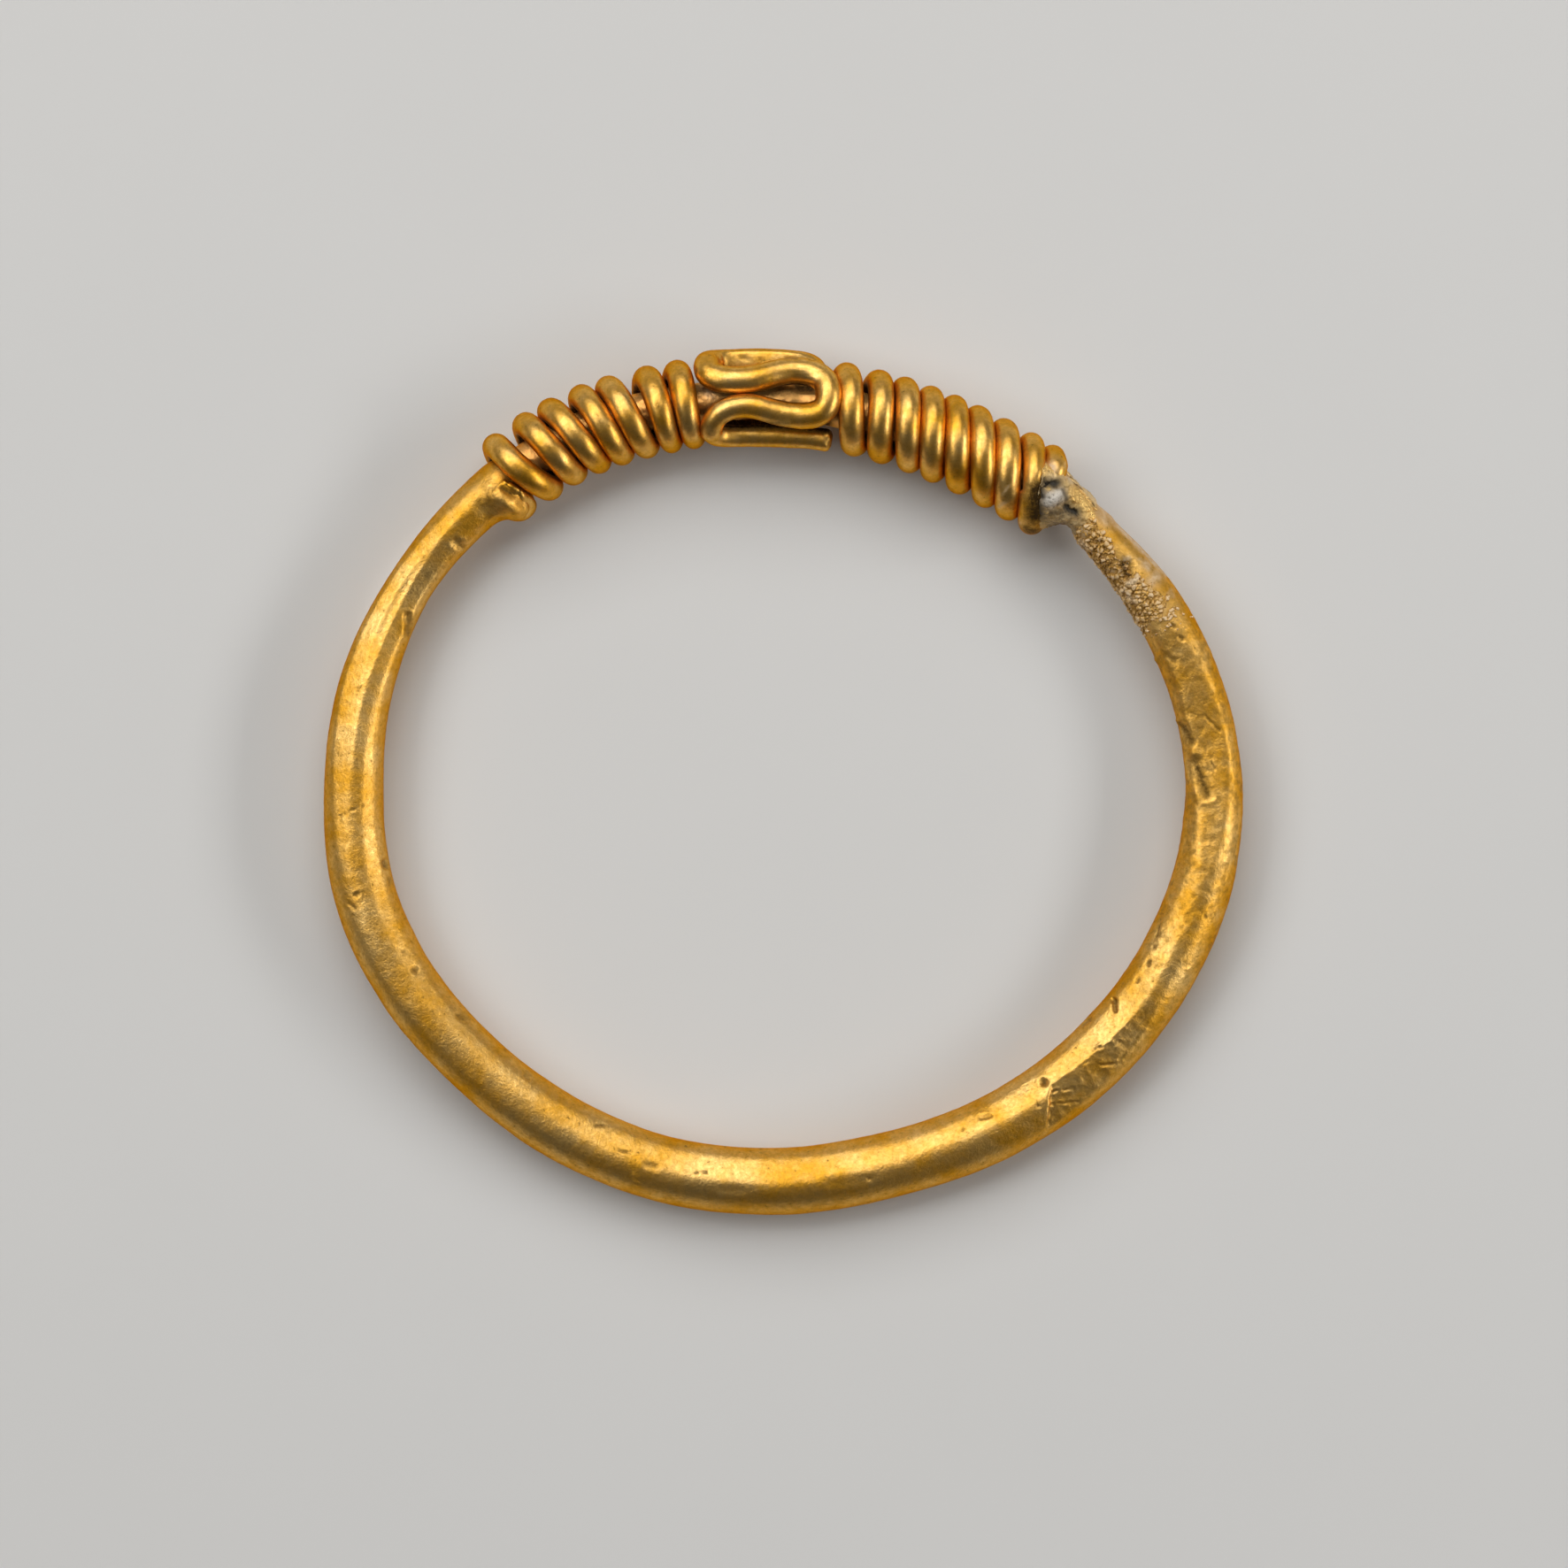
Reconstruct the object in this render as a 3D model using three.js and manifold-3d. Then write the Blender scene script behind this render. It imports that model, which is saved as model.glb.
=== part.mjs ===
// A gold finger ring whose front is wound with wire.
// A forged rod is bent into the hoop. Its front is drawn down to a thin core, which carries a winding on
// the left, a cage of wire bent to and fro in the middle, and a winding on the right. Solder closes the
// hoop at the right shoulder. Nothing on the ring moves.
// The ring lies flat, as on a table: the wire front is at +Y, the back at -Y, and the finger hole faces up.
// Lengths are in millimetres.

import * as THREE from 'three';
import { mergeVertices } from 'three/addons/utils/BufferGeometryUtils.js';
import Module from 'manifold-3d';

// Line along the middle of the rod: an oval that is deeper at the back than at the front
const hoopHalfWidth = 10.3;
const hoopFrontDepth = 9.11;
const hoopBackDepth = 9.54;

// How far the hammered hoop strays from that oval, in even steps of angle clockwise from the front
const hoopStrayShares = [
  1.002, 0.982, 0.97, 0.978, 0.981, 0.987, 0.998, 1.003, 1.001, 0.999, 0.995, 0.99,
  1, 1.009, 1.008, 1.004, 1.011, 1.011, 0.997, 1.001, 1.008, 1.014, 1.03, 1.018,
];

// Rod
const backDiameter = 1.61;
const coreDiameter = 0.95;
const shoulderTaperLength = 0.6; // over which each shoulder thins to the core
const seamGap = 0.05; // between the two ends of the rod, inside the solder
const backWearDepth = 0.05; // depth of the flat that wear has left under the back

// Thickness of the bare hoop as shares of the back, in even steps from the seam round to the left shoulder
const rodThicknessShares = [
  0.565, 0.757, 0.82, 0.895, 0.95, 0.99, 0.995, 1, 1, 0.99, 0.963, 0.935, 0.93, 0.895, 0.814, 0.7, 0.745,
];

// Flats on the top of the hoop. Each is deepest at its place and runs out to the hoop's skin, the hammered
// one on the right on both sides and the scraped one at the lower right on one side. Each faces a way given
// as a share of a turn from the outer edge over the top.
const sideFlatPlace = 14.1;
const sideFlatRun = 3.2;
const sideFlatDepth = 0.14;
const sideFlatFacingShare = 0.262;
const lowerFlatPlace = 23.95;
const lowerFlatRun = 3.6;
const lowerFlatDepth = 0.12;
const lowerFlatFacingShare = 0.205;

// Gap that every seated piece keeps to what carries it
const seatGap = 0.03;

// Cage: one wire bent to and fro along the core and wrapped round it
const cagePlace = -0.4; // its middle, along the core from the front of the hoop
const cageHalfRun = 0.8; // from its middle to the centre of its longest end bends
const cageWireDiameter = 0.6;
const cageCoreGap = 0.134; // between the wire and the core
const cageStrandGap = 0.04; // between two strands where they pinch together
const cageWireWearDepth = 0.06; // depth of the flat that wear has left on the wire under the cage
const cageEndRun = 1.58; // from the middle to the cut end of the first strand
const cageHiddenEndRun = 1.05; // the same for the last strand, at the back
const cageFirstStrandShare = 0.461; // of a turn, from the outer edge of the ring over its top
const cageStrandPitchShare = 0.161; // of a turn, from one strand to the next
const cageBendRunShares = [0.826, 1, 1, 0.66, 0.6]; // of the half run, for the bends in their order

// Windings: both are right-handed screws
const wireDiameter = 0.56;

const leftTurnGap = 0.12; // between two turns along the core
const leftCageGap = 0.03; // between the last turn and the cage
const leftStartLeanAngle = 2.9; // degrees by which a turn leans along the core
const leftEndLeanAngle = -8.7;
const leftSpacingShares = [1.11, 0.99, 1.02, 1, 0.98, 1.1, 0.98]; // of the pitch, from turn to turn
const leftFirstTurn = 0.03; // counted in turns from the tail's place
const leftLastTurn = 7.42;

const rightTurnGap = 0.11;
const rightCageGap = 0.07;
const rightStartLeanAngle = 8.7;
const rightEndLeanAngle = 20.9;
const rightSpacingShares = [1.06, 1, 0.97, 0.98, 0.99, 1, 1.08, 0.97];
const rightFirstTurn = -0.4; // counted in turns from the first turn's place
const rightLastTurn = 7.86; // from here the wire runs straight into the solder

// Tail of the left winding, hammered flat on to the shoulder
const tailWidthShares = [0.35, 0.95, 1.16, 1.14, 1.04, 1]; // of the wire, from the tip in even steps
const tailHeightShares = [0.3, 0.52, 0.66, 0.8, 0.94, 1];
const tailTurns = 0.36; // how much of a turn the hammered stretch takes

// Solder at the right shoulder
const seamReach = 0.45; // from the place of the last turn to the seam
const solderReach = 0.85; // from the place of the last turn to the end of the solder
const solderHeight = 0.44; // above its thin edge, where it is highest
const solderEdgeThickness = 0.03; // thickness of that edge
const solderLowShare = 0.3; // of that height, on the side away from the top
const solderCrestShare = 0.3; // of a turn, where it is highest
const solderProfileShares = [0.9, 1, 0.86, 0.55, 0.25, 0]; // of the height, from the last turn outwards
const solderSetBackShare = 0.35; // of the wire, from the middle of the turn that it lies against

// Looks of the metals
const forgedGold = { color: '#c9973f', roughness: 0.4 };
const wireGold = { color: '#d4a549', roughness: 0.32 };
const greySolder = { color: '#8d867c', roughness: 0.6 };

// Facets
const lineSteps = 2000; // for measuring along the rod's line
const rodSteps = 110;
const rodSides = 18;
const turnSteps = 24;
const wireSides = 6;
const cageSides = 8;
const bendSteps = 14;
const runSteps = 4;
const endRunSteps = 2;
const solderSides = 28;

// Heights over the table that the ring lies on
const fullTurn = 2 * Math.PI;
const coreRadius = coreDiameter / 2;
const cageWireRadius = cageWireDiameter / 2;
const wireRadius = wireDiameter / 2;
const cageRadius = coreRadius + cageCoreGap + cageWireRadius;
const windingRadius = coreRadius + seatGap + wireRadius;
const frontHeight = cageRadius + cageWireRadius - cageWireWearDepth;
const backHeight = backDiameter / 2 - backWearDepth;

// Line along the middle of the rod, clockwise from the front
const up = new THREE.Vector3(0, 0, 1);
const hoopLine = new THREE.CatmullRomCurve3(
  hoopStrayShares.map((share, index) => {
    const angle = fullTurn * (1 / 4 - index / hoopStrayShares.length);
    const depth = Math.sin(angle) > 0 ? hoopFrontDepth : hoopBackDepth;
    const y = share * depth * Math.sin(angle);
    const raised = (y + hoopBackDepth) / (hoopFrontDepth + hoopBackDepth);
    const z = THREE.MathUtils.lerp(backHeight, frontHeight, raised);
    return new THREE.Vector3(share * hoopHalfWidth * Math.cos(angle), y, z);
  }),
  true,
);
hoopLine.arcLengthDivisions = lineSteps;
const hoopLength = hoopLine.getLength();

// Value of a table of shares at a point along it, from 0 at its start to 1 at its end
function smoothShare(shares, along) {
  const points = shares.map((share, index) => new THREE.Vector2(index, share));
  return new THREE.SplineCurve(points).getPoint(THREE.MathUtils.clamp(along, 0, 1)).y;
}

// Point of the rod's line at a place along it, with the directions along, outwards and up from it
function rodFrame(place) {
  const turnShare = THREE.MathUtils.euclideanModulo(place / hoopLength, 1);
  const along = hoopLine.getTangentAt(turnShare);
  const outward = new THREE.Vector3().crossVectors(up, along).normalize();
  const lift = new THREE.Vector3().crossVectors(along, outward);
  return { point: hoopLine.getPointAt(turnShare), along, outward, lift };
}

// Point at a distance from the rod's line, turned from the outer edge over the top
function aroundRod(place, angle, distance) {
  const { point, outward, lift } = rodFrame(place);
  const radial = outward.multiplyScalar(Math.cos(angle)).addScaledVector(lift, Math.sin(angle));
  return { radial, at: point.addScaledVector(radial, distance) };
}

// Strands and end bends of the cage on the core's unrolled surface: bends on one side nearly touch
const strandPitch = fullTurn * cageRadius * cageStrandPitchShare;
const firstStrand = fullTurn * cageRadius * cageFirstStrandShare;
const bendRadius = strandPitch - (cageWireDiameter + cageStrandGap) / 2;
const cageReach = cageHalfRun + bendRadius + cageWireRadius;

// Places of the turns along the core, each winding counted outwards or inwards from the cage
const leftPitch = wireDiameter + leftTurnGap;
const leftTurnsLength = leftPitch * leftSpacingShares.reduce((sum, share) => sum + share, 0);
const leftLastPlace = cagePlace - cageReach - leftCageGap - wireRadius;
const rightPitch = wireDiameter + rightTurnGap;
const rightTurnsLength = rightPitch * rightSpacingShares.reduce((sum, share) => sum + share, 0);
const rightFirstPlace = cagePlace + cageReach + rightCageGap + wireRadius;

const leftWinding = {
  firstTurn: leftFirstTurn,
  lastTurn: leftLastTurn,
  places: turnPlaces(leftLastPlace - leftTurnsLength, leftPitch, leftSpacingShares),
  leans: [leftStartLeanAngle, leftEndLeanAngle],
};
const rightWinding = {
  firstTurn: rightFirstTurn,
  lastTurn: rightLastTurn,
  places: turnPlaces(rightFirstPlace, rightPitch, rightSpacingShares),
  leans: [rightStartLeanAngle, rightEndLeanAngle],
};
const seamPlace = rightFirstPlace + rightTurnsLength + seamReach;
const shoulderPlace = leftLastPlace - leftTurnsLength - shoulderTaperLength / 2;

// Places of the turns from the first one on
function turnPlaces(first, pitch, spacingShares) {
  const places = [first];
  spacingShares.forEach((share, index) => places.push(places[index] + pitch * share));
  return places;
}

// Place and angle of a winding's wire after a number of turns; whole numbers are at the top of the ring
function turnAt(winding, turns) {
  const { places, leans } = winding;
  const index = THREE.MathUtils.clamp(Math.floor(turns), 0, places.length - 2);
  const middle = THREE.MathUtils.lerp(places[index], places[index + 1], turns - index);
  const angle = fullTurn * (turns + 1 / 4);
  const leanAngle = THREE.MathUtils.lerp(leans[0], leans[1], turns / (places.length - 1));
  const lean = windingRadius * Math.tan(THREE.MathUtils.degToRad(leanAngle));
  return { angle, place: middle - lean * Math.cos(angle) };
}

// Radius of the rod at a place along it, counted from the front of the hoop
function rodRadius(place) {
  const fromSeam = THREE.MathUtils.euclideanModulo(place - seamPlace, hoopLength);
  const bareLength = hoopLength - seamPlace + shoulderPlace;
  const bareRadius = (backDiameter / 2) * smoothShare(rodThicknessShares, fromSeam / bareLength);
  const fromShoulder = bareLength + shoulderTaperLength - fromSeam;
  const thickened = THREE.MathUtils.smoothstep(Math.min(fromSeam, fromShoulder), 0, shoulderTaperLength);
  return THREE.MathUtils.lerp(coreRadius, bareRadius, thickened);
}

// Closed body from rings of points that follow each other, with a fan over each end
function bodyFromRings(rings) {
  const sides = rings[0].length;
  const positions = rings.flat().flatMap((corner) => corner.toArray());
  const faces = [];
  for (let ring = 0; ring + 1 < rings.length; ring += 1) {
    for (let side = 0; side < sides; side += 1) {
      const next = (side + 1) % sides;
      const [a, b] = [ring * sides + side, ring * sides + next];
      faces.push(a, b, b + sides, a, b + sides, a + sides);
    }
  }
  const middles = [rings[0], rings.at(-1)].map((ring) => {
    const sum = ring.reduce((total, corner) => total.add(corner), new THREE.Vector3());
    return sum.divideScalar(sides);
  });
  const firstMiddle = rings.length * sides;
  const lastRing = firstMiddle - sides;
  positions.push(...middles[0].toArray(), ...middles[1].toArray());
  for (let side = 0; side < sides; side += 1) {
    const next = (side + 1) % sides;
    faces.push(firstMiddle, next, side);
    faces.push(firstMiddle + 1, lastRing + side, lastRing + next);
  }
  const geometry = new THREE.BufferGeometry();
  geometry.setAttribute('position', new THREE.Float32BufferAttribute(positions, 3));
  geometry.setIndex(faces);
  return geometry;
}

// Wire along a route, whose stations give its middle, the way out from the core and its half sizes.
// Its facets reach the full width of the wire and its full height.
function wireBody(route, sides, growth) {
  const angles = Array.from({ length: sides }, (_, side) => (-fullTurn * side) / sides);
  const tallest = Math.max(...angles.map(Math.sin));
  const rings = route.map((station, index) => {
    const before = route[Math.max(index - 1, 0)].at;
    const after = route[Math.min(index + 1, route.length - 1)].at;
    const heading = new THREE.Vector3().subVectors(after, before).normalize();
    const across = new THREE.Vector3().crossVectors(heading, station.radial).normalize();
    const outward = new THREE.Vector3().crossVectors(across, heading);
    const endGrowth = Number(index === route.length - 1) - Number(index === 0);
    const middle = station.at.clone().addScaledVector(heading, endGrowth * growth);
    return angles.map((angle) => {
      return middle
        .clone()
        .addScaledVector(outward, ((station.halfHeight + growth) * Math.sin(angle)) / tallest)
        .addScaledVector(across, (station.halfWidth + growth) * Math.cos(angle));
    });
  });
  return bodyFromRings(rings);
}

// Least gap of a wire to itself, from its middle points that lie at least so many steps apart
function leastGap(route, stepsApart) {
  let least = Infinity;
  route.forEach((one, index) => {
    for (const other of route.slice(index + stepsApart)) {
      least = Math.min(least, one.at.distanceTo(other.at) - one.halfWidth - other.halfWidth);
    }
  });
  return least;
}

// Route of a winding's wire on the rod, with the hammered tail where it has one
function windingRoute(winding, hasTail, hasStraightEnd) {
  const { firstTurn, lastTurn } = winding;
  const steps = Math.round((lastTurn - firstTurn) * turnSteps);
  const route = Array.from({ length: steps + 1 }, (_, step) => {
    const turns = THREE.MathUtils.lerp(firstTurn, lastTurn, step / steps);
    const { angle, place } = turnAt(winding, turns);
    const hammered = hasTail ? (turns - firstTurn) / tailTurns : 1;
    const halfWidth = wireRadius * smoothShare(tailWidthShares, hammered);
    const halfHeight = wireRadius * smoothShare(tailHeightShares, hammered);
    const distance = rodRadius(place) + seatGap + halfHeight;
    return { ...aroundRod(place, angle, distance), halfWidth, halfHeight };
  });
  if (hasStraightEnd) {
    const last = route.at(-1);
    const heading = new THREE.Vector3().subVectors(last.at, route.at(-2).at).normalize();
    for (let step = 1; step <= endRunSteps; step += 1) {
      const run = (wireDiameter * step) / endRunSteps;
      route.push({ ...last, at: last.at.clone().addScaledVector(heading, run) });
    }
  }
  return route;
}

// Route of the cage's wire: the core's surface is unrolled, and the wire runs to and fro on it between
// round end bends that are wider than the gap between two strands, so the strands lean back
function cageRoute() {
  const bends = cageBendRunShares.map((share, index) => {
    const side = index % 2 === 0 ? -1 : 1;
    const middle = new THREE.Vector2(side * cageHalfRun * share, firstStrand - strandPitch * (index + 1 / 2));
    return { side, middle };
  });
  const leanBacks = bends.slice(1).map((bend, index) => {
    const apart = bend.middle.distanceTo(bends[index].middle);
    const slope = Math.asin(strandPitch / apart);
    return Math.asin((2 * bendRadius) / apart) - slope;
  });

  const flat = [new THREE.Vector2(cageEndRun, bends[0].middle.y + bendRadius)];
  bends.forEach(({ side, middle }, index) => {
    const enter = -fullTurn / 4 - (leanBacks[index - 1] ?? 0);
    const leave = fullTurn / 4 + (leanBacks[index] ?? 0);
    const bend = Array.from({ length: bendSteps + 1 }, (_, step) => {
      const angle = THREE.MathUtils.lerp(enter, leave, step / bendSteps);
      const reach = new THREE.Vector2(side * Math.cos(angle), -Math.sin(angle));
      return reach.multiplyScalar(bendRadius).add(middle);
    });
    addRun(flat, bend[0]);
    flat.push(...bend);
  });
  const end = new THREE.Vector2(cageHiddenEndRun, bends.at(-1).middle.y - bendRadius);
  addRun(flat, end);
  flat.push(end);
  return flat.map(({ x, y }) => ({
    ...aroundRod(cagePlace + x, y / cageRadius, cageRadius),
    halfWidth: cageWireRadius,
    halfHeight: cageWireRadius,
  }));
}

// Points between the last one of a flat route and the next, both left out
function addRun(flat, next) {
  const last = flat.at(-1).clone();
  for (let step = 1; step < runSteps; step += 1) {
    flat.push(last.clone().lerp(next, step / runSteps));
  }
}

// Rod between two places, or the same one thickened to cut its seat
function rodBody(from, to, growth) {
  const rings = Array.from({ length: rodSteps + 1 }, (_, step) => {
    const place = THREE.MathUtils.lerp(from, to, step / rodSteps);
    const radius = rodRadius(place) + growth;
    return Array.from({ length: rodSides }, (_, side) => {
      return aroundRod(place, (fullTurn * (side + 1 / 2)) / rodSides, radius).at;
    });
  });
  return bodyFromRings(rings);
}

// What a flat takes off the hoop on one side of its place: a block whose underside runs from the hoop's
// skin down to the flat's depth
function flatBlock(place, run, depth, facingShare) {
  const facing = fullTurn * facingShare;
  const start = aroundRod(place - run, facing, rodRadius(place - run)).at;
  const end = aroundRod(place, facing, rodRadius(place) - depth);
  const along = new THREE.Vector3().subVectors(end.at, start);
  const across = new THREE.Vector3().crossVectors(end.radial, along).normalize();
  const lift = new THREE.Vector3().crossVectors(along, across).normalize();
  const block = new THREE.BoxGeometry(along.length(), backDiameter, backDiameter);
  const middle = start.lerp(end.at, 1 / 2).addScaledVector(lift, backDiameter / 2);
  const placement = new THREE.Matrix4().makeBasis(along.normalize(), across, lift).setPosition(middle);
  return solidOf(block.applyMatrix4(placement));
}

// Lump of solder round the seam, before its seats are cut: it starts under the last turn, which it follows
function solderLump() {
  const { places, lastTurn } = rightWinding;
  const setBack = wireDiameter * solderSetBackShare;
  const end = places.at(-1) + solderReach;
  const columns = Array.from({ length: solderSides }, (_, side) => {
    const turns = lastTurn - 1 + (side + 1 / 2) / solderSides;
    const { angle, place } = turnAt(rightWinding, turns);
    const fromCrest = angle - fullTurn * solderCrestShare;
    const lift = THREE.MathUtils.lerp(solderLowShare, 1, (1 + Math.cos(fromCrest)) / 2);
    return solderProfileShares.map((share, index) => {
      const along = THREE.MathUtils.lerp(place + setBack, end, index / (solderProfileShares.length - 1));
      const edgeRadius = rodRadius(along) + seatGap + solderEdgeThickness;
      return aroundRod(along, angle, edgeRadius + solderHeight * lift * share).at;
    });
  });
  return bodyFromRings(solderProfileShares.map((_, ring) => columns.map((column) => column[ring])));
}

const wasm = await Module();
wasm.setup();

// Closed solid for cutting, from a geometry
function solidOf(geometry) {
  const bare = geometry.clone();
  bare.deleteAttribute('normal');
  bare.deleteAttribute('uv');
  const merged = mergeVertices(bare);
  return new wasm.Manifold(
    new wasm.Mesh({
      numProp: 3,
      vertProperties: Float32Array.from(merged.getAttribute('position').array),
      triVerts: Uint32Array.from(merged.getIndex().array),
    }),
  );
}

function geometryOf(solid) {
  const { vertProperties, triVerts } = solid.getMesh();
  const geometry = new THREE.BufferGeometry();
  geometry.setAttribute('position', new THREE.BufferAttribute(vertProperties, 3));
  geometry.setIndex(new THREE.BufferAttribute(triVerts, 1));
  return geometry;
}

// What lies under the table's top, for cutting the worn flats
function underTable() {
  const size = fullTurn * (hoopHalfWidth + hoopFrontDepth + hoopBackDepth);
  return solidOf(new THREE.BoxGeometry(size, size, size).translate(0, 0, -size / 2));
}

const table = underTable();
const ring = new THREE.Group();

function addPiece(name, body, looks) {
  const geometry = geometryOf(body.subtract(table)).toNonIndexed();
  geometry.computeVertexNormals();
  const mesh = new THREE.Mesh(geometry, new THREE.MeshStandardMaterial({ ...looks, metalness: 1 }));
  mesh.name = name;
  ring.add(mesh);
}

const leftRoute = windingRoute(leftWinding, true, false);
const rightRoute = windingRoute(rightWinding, false, true);
const bezelRoute = cageRoute();
const rod = solidOf(rodBody(seamPlace + seamGap / 2, seamPlace + hoopLength - seamGap / 2, 0));
const flats = [
  flatBlock(sideFlatPlace, sideFlatRun, sideFlatDepth, sideFlatFacingShare),
  flatBlock(sideFlatPlace, -sideFlatRun, sideFlatDepth, sideFlatFacingShare),
  flatBlock(lowerFlatPlace, lowerFlatRun, lowerFlatDepth, lowerFlatFacingShare),
];
const rodSeat = solidOf(rodBody(seamPlace - hoopLength / 2, seamPlace + hoopLength / 2, seatGap));
const wireSeat = solidOf(wireBody(rightRoute, wireSides, seatGap));
const solder = solidOf(solderLump()).subtract(rodSeat).subtract(wireSeat);

addPiece('hoop', flats.reduce((body, flat) => body.subtract(flat), rod), forgedGold);
addPiece('left_winding', solidOf(wireBody(leftRoute, wireSides, 0)), wireGold);
addPiece('right_winding', solidOf(wireBody(rightRoute, wireSides, 0)), wireGold);
addPiece('bezel_cage', solidOf(wireBody(bezelRoute, cageSides, 0)), wireGold);
addPiece('shoulder_solder', solder, greySolder);

const middle = new THREE.Box3().setFromObject(ring).getCenter(new THREE.Vector3());
ring.position.set(-middle.x, -middle.y, 0);

const gaps = {
  left_winding: leastGap(leftRoute, turnSteps / 2),
  right_winding: leastGap(rightRoute, turnSteps / 2),
  bezel_cage: leastGap(bezelRoute, bendSteps),
};
for (const [name, gap] of Object.entries(gaps)) {
  console.log(`${name}: least gap to itself ${gap.toFixed(3)} mm`);
}

export default ring;
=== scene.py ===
"""A gold finger ring whose front is wound with wire, lying flat on a pale floor.

Sizes are in millimetres until a mesh is made, and places along the hoop are counted clockwise from the
middle of its front. Angles round the rod are counted from the ring's outer edge over its top.
"""

import logging
import math
from dataclasses import dataclass, field
from enum import Enum
from functools import reduce

import bpy
import numpy as np
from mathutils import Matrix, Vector


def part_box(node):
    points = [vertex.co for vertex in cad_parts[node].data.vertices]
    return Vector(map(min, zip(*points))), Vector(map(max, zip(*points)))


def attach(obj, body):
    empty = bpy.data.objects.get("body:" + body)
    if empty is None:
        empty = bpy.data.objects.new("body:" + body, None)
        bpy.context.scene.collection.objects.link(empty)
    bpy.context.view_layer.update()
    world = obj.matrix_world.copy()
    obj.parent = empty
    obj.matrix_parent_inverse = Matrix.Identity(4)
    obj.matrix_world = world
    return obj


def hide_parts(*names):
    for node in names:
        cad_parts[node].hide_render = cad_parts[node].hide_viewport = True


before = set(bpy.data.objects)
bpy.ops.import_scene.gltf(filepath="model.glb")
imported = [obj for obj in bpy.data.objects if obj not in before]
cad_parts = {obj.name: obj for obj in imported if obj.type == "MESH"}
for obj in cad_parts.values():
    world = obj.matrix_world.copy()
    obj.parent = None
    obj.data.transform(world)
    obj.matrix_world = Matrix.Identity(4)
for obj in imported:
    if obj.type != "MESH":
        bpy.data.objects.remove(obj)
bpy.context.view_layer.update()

log = logging.getLogger("ring")

Array = np.ndarray
Material = bpy.types.Material
Mesh = bpy.types.Mesh
Socket = bpy.types.NodeSocket
Colour = tuple[float, float, float]
Pixel = tuple[float, float]
Shares = tuple[float, ...]
Edges = tuple[float, float, float, float]  # where a stretch rises from 0, reaches 1, leaves 1 and ends
Waves = tuple[tuple[float, float, int], ...]  # depth, size and octaves of random lumps, the coarsest first

FULL_TURN = 2 * math.pi
METRES = 0.001  # in a millimetre
UP = np.array((0.0, 0.0, 1.0))
SEED = 7  # picks the random patterns


class Slot(Enum):
    """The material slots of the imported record."""

    HOOP = "forged_gold"
    WIRE = "wire_gold"
    SOLDER = "grey_solder"


class Layer(Enum):
    """What is painted on a mesh, from 0 to 1 at each point."""

    # DIRT holds dirt, and also painted shade where a wire faces the core, in the cage's slot and eye, and by
    # the left tail
    DIRT = "dirt"
    ROSE = "rose"
    CRUST = "crust"
    PALE = "pale"


# Arithmetic on arrays of points


def unit(vectors: Array) -> Array:
    """Returns the vectors at length one."""
    return vectors / np.linalg.norm(vectors, axis=-1, keepdims=True)


def smooth_step(values: Array, low: float, high: float) -> Array:
    """Returns the values eased from 0 at the low end to 1 at the high end."""
    share = np.clip((np.asarray(values, float) - low) / (high - low), 0, 1)
    return share * share * (3 - 2 * share)


def blend(first: Array, second: Array, share: Array) -> Array:
    """Mixes two values, all of the first at a share of 0 and all of the second at 1."""
    return first + (second - first) * share


def stretch(values: Array, edges: Edges) -> Array:
    """Returns 1 on a stretch of the values and 0 beyond it, eased over its edges."""
    return smooth_step(values, *edges[:2]) * (1 - smooth_step(values, *edges[2:]))


def cubic(start: Array, end: Array, leave: Array, arrive: Array, t: Array) -> Array:
    """Returns the points at t of the smooth curve with these ends and slopes."""
    bend = (2 * start - 2 * end + leave + arrive) * t**3
    return bend + (3 * end - 3 * start - 2 * leave - arrive) * t**2 + leave * t + start


def share_at(shares: Shares, along: Array) -> Array:
    """Reads a table of shares on a smooth curve through its values.

    Args:
        shares: the table, in even steps.
        along: places in the table, from 0 at its start to 1 at its end.

    Returns:
        The value at each place.
    """
    table = np.array(shares)
    last = len(table) - 1
    place = np.clip(along, 0, 1) * last
    step = np.minimum(np.floor(place).astype(int), last - 1)
    before, start = table[np.maximum(step - 1, 0)], table[step]
    end, after = table[step + 1], table[np.minimum(step + 2, last)]
    return cubic(start, end, (end - before) / 2, (after - start) / 2, place - step)


def curve_through(controls: Array, samples: int, closed: bool) -> Array:
    """Draws a smooth curve through points, as evenly bent as their distances allow.

    Args:
        controls: the points, one row each.
        samples: how many points the curve has.
        closed: whether its end joins its start.

    Returns:
        The points of the curve.
    """
    count = len(controls)
    if closed:
        around = np.concatenate([controls[-1:], controls, controls[:2]])
        place = np.arange(samples) * count / samples
    else:
        ends = 2 * controls[[0, -1]] - controls[[1, -2]]
        around = np.concatenate([ends[:1], controls, ends[1:]])
        place = np.linspace(0, count - 1, samples)
    step = np.minimum(np.floor(place).astype(int), len(around) - 4)
    p0, p1, p2, p3 = (around[step + offset] for offset in range(4))
    pairs = ((p0, p1), (p1, p2), (p2, p3))
    g0, g1, g2 = (np.linalg.norm(b - a, axis=1, keepdims=True) ** 0.5 for a, b in pairs)
    leave = ((p1 - p0) / g0 - (p2 - p0) / (g0 + g1) + (p2 - p1) / g1) * g1
    arrive = ((p2 - p1) / g1 - (p3 - p1) / (g1 + g2) + (p3 - p2) / g2) * g1
    return cubic(p1, p2, leave, arrive, (place - step)[:, None])


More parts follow.
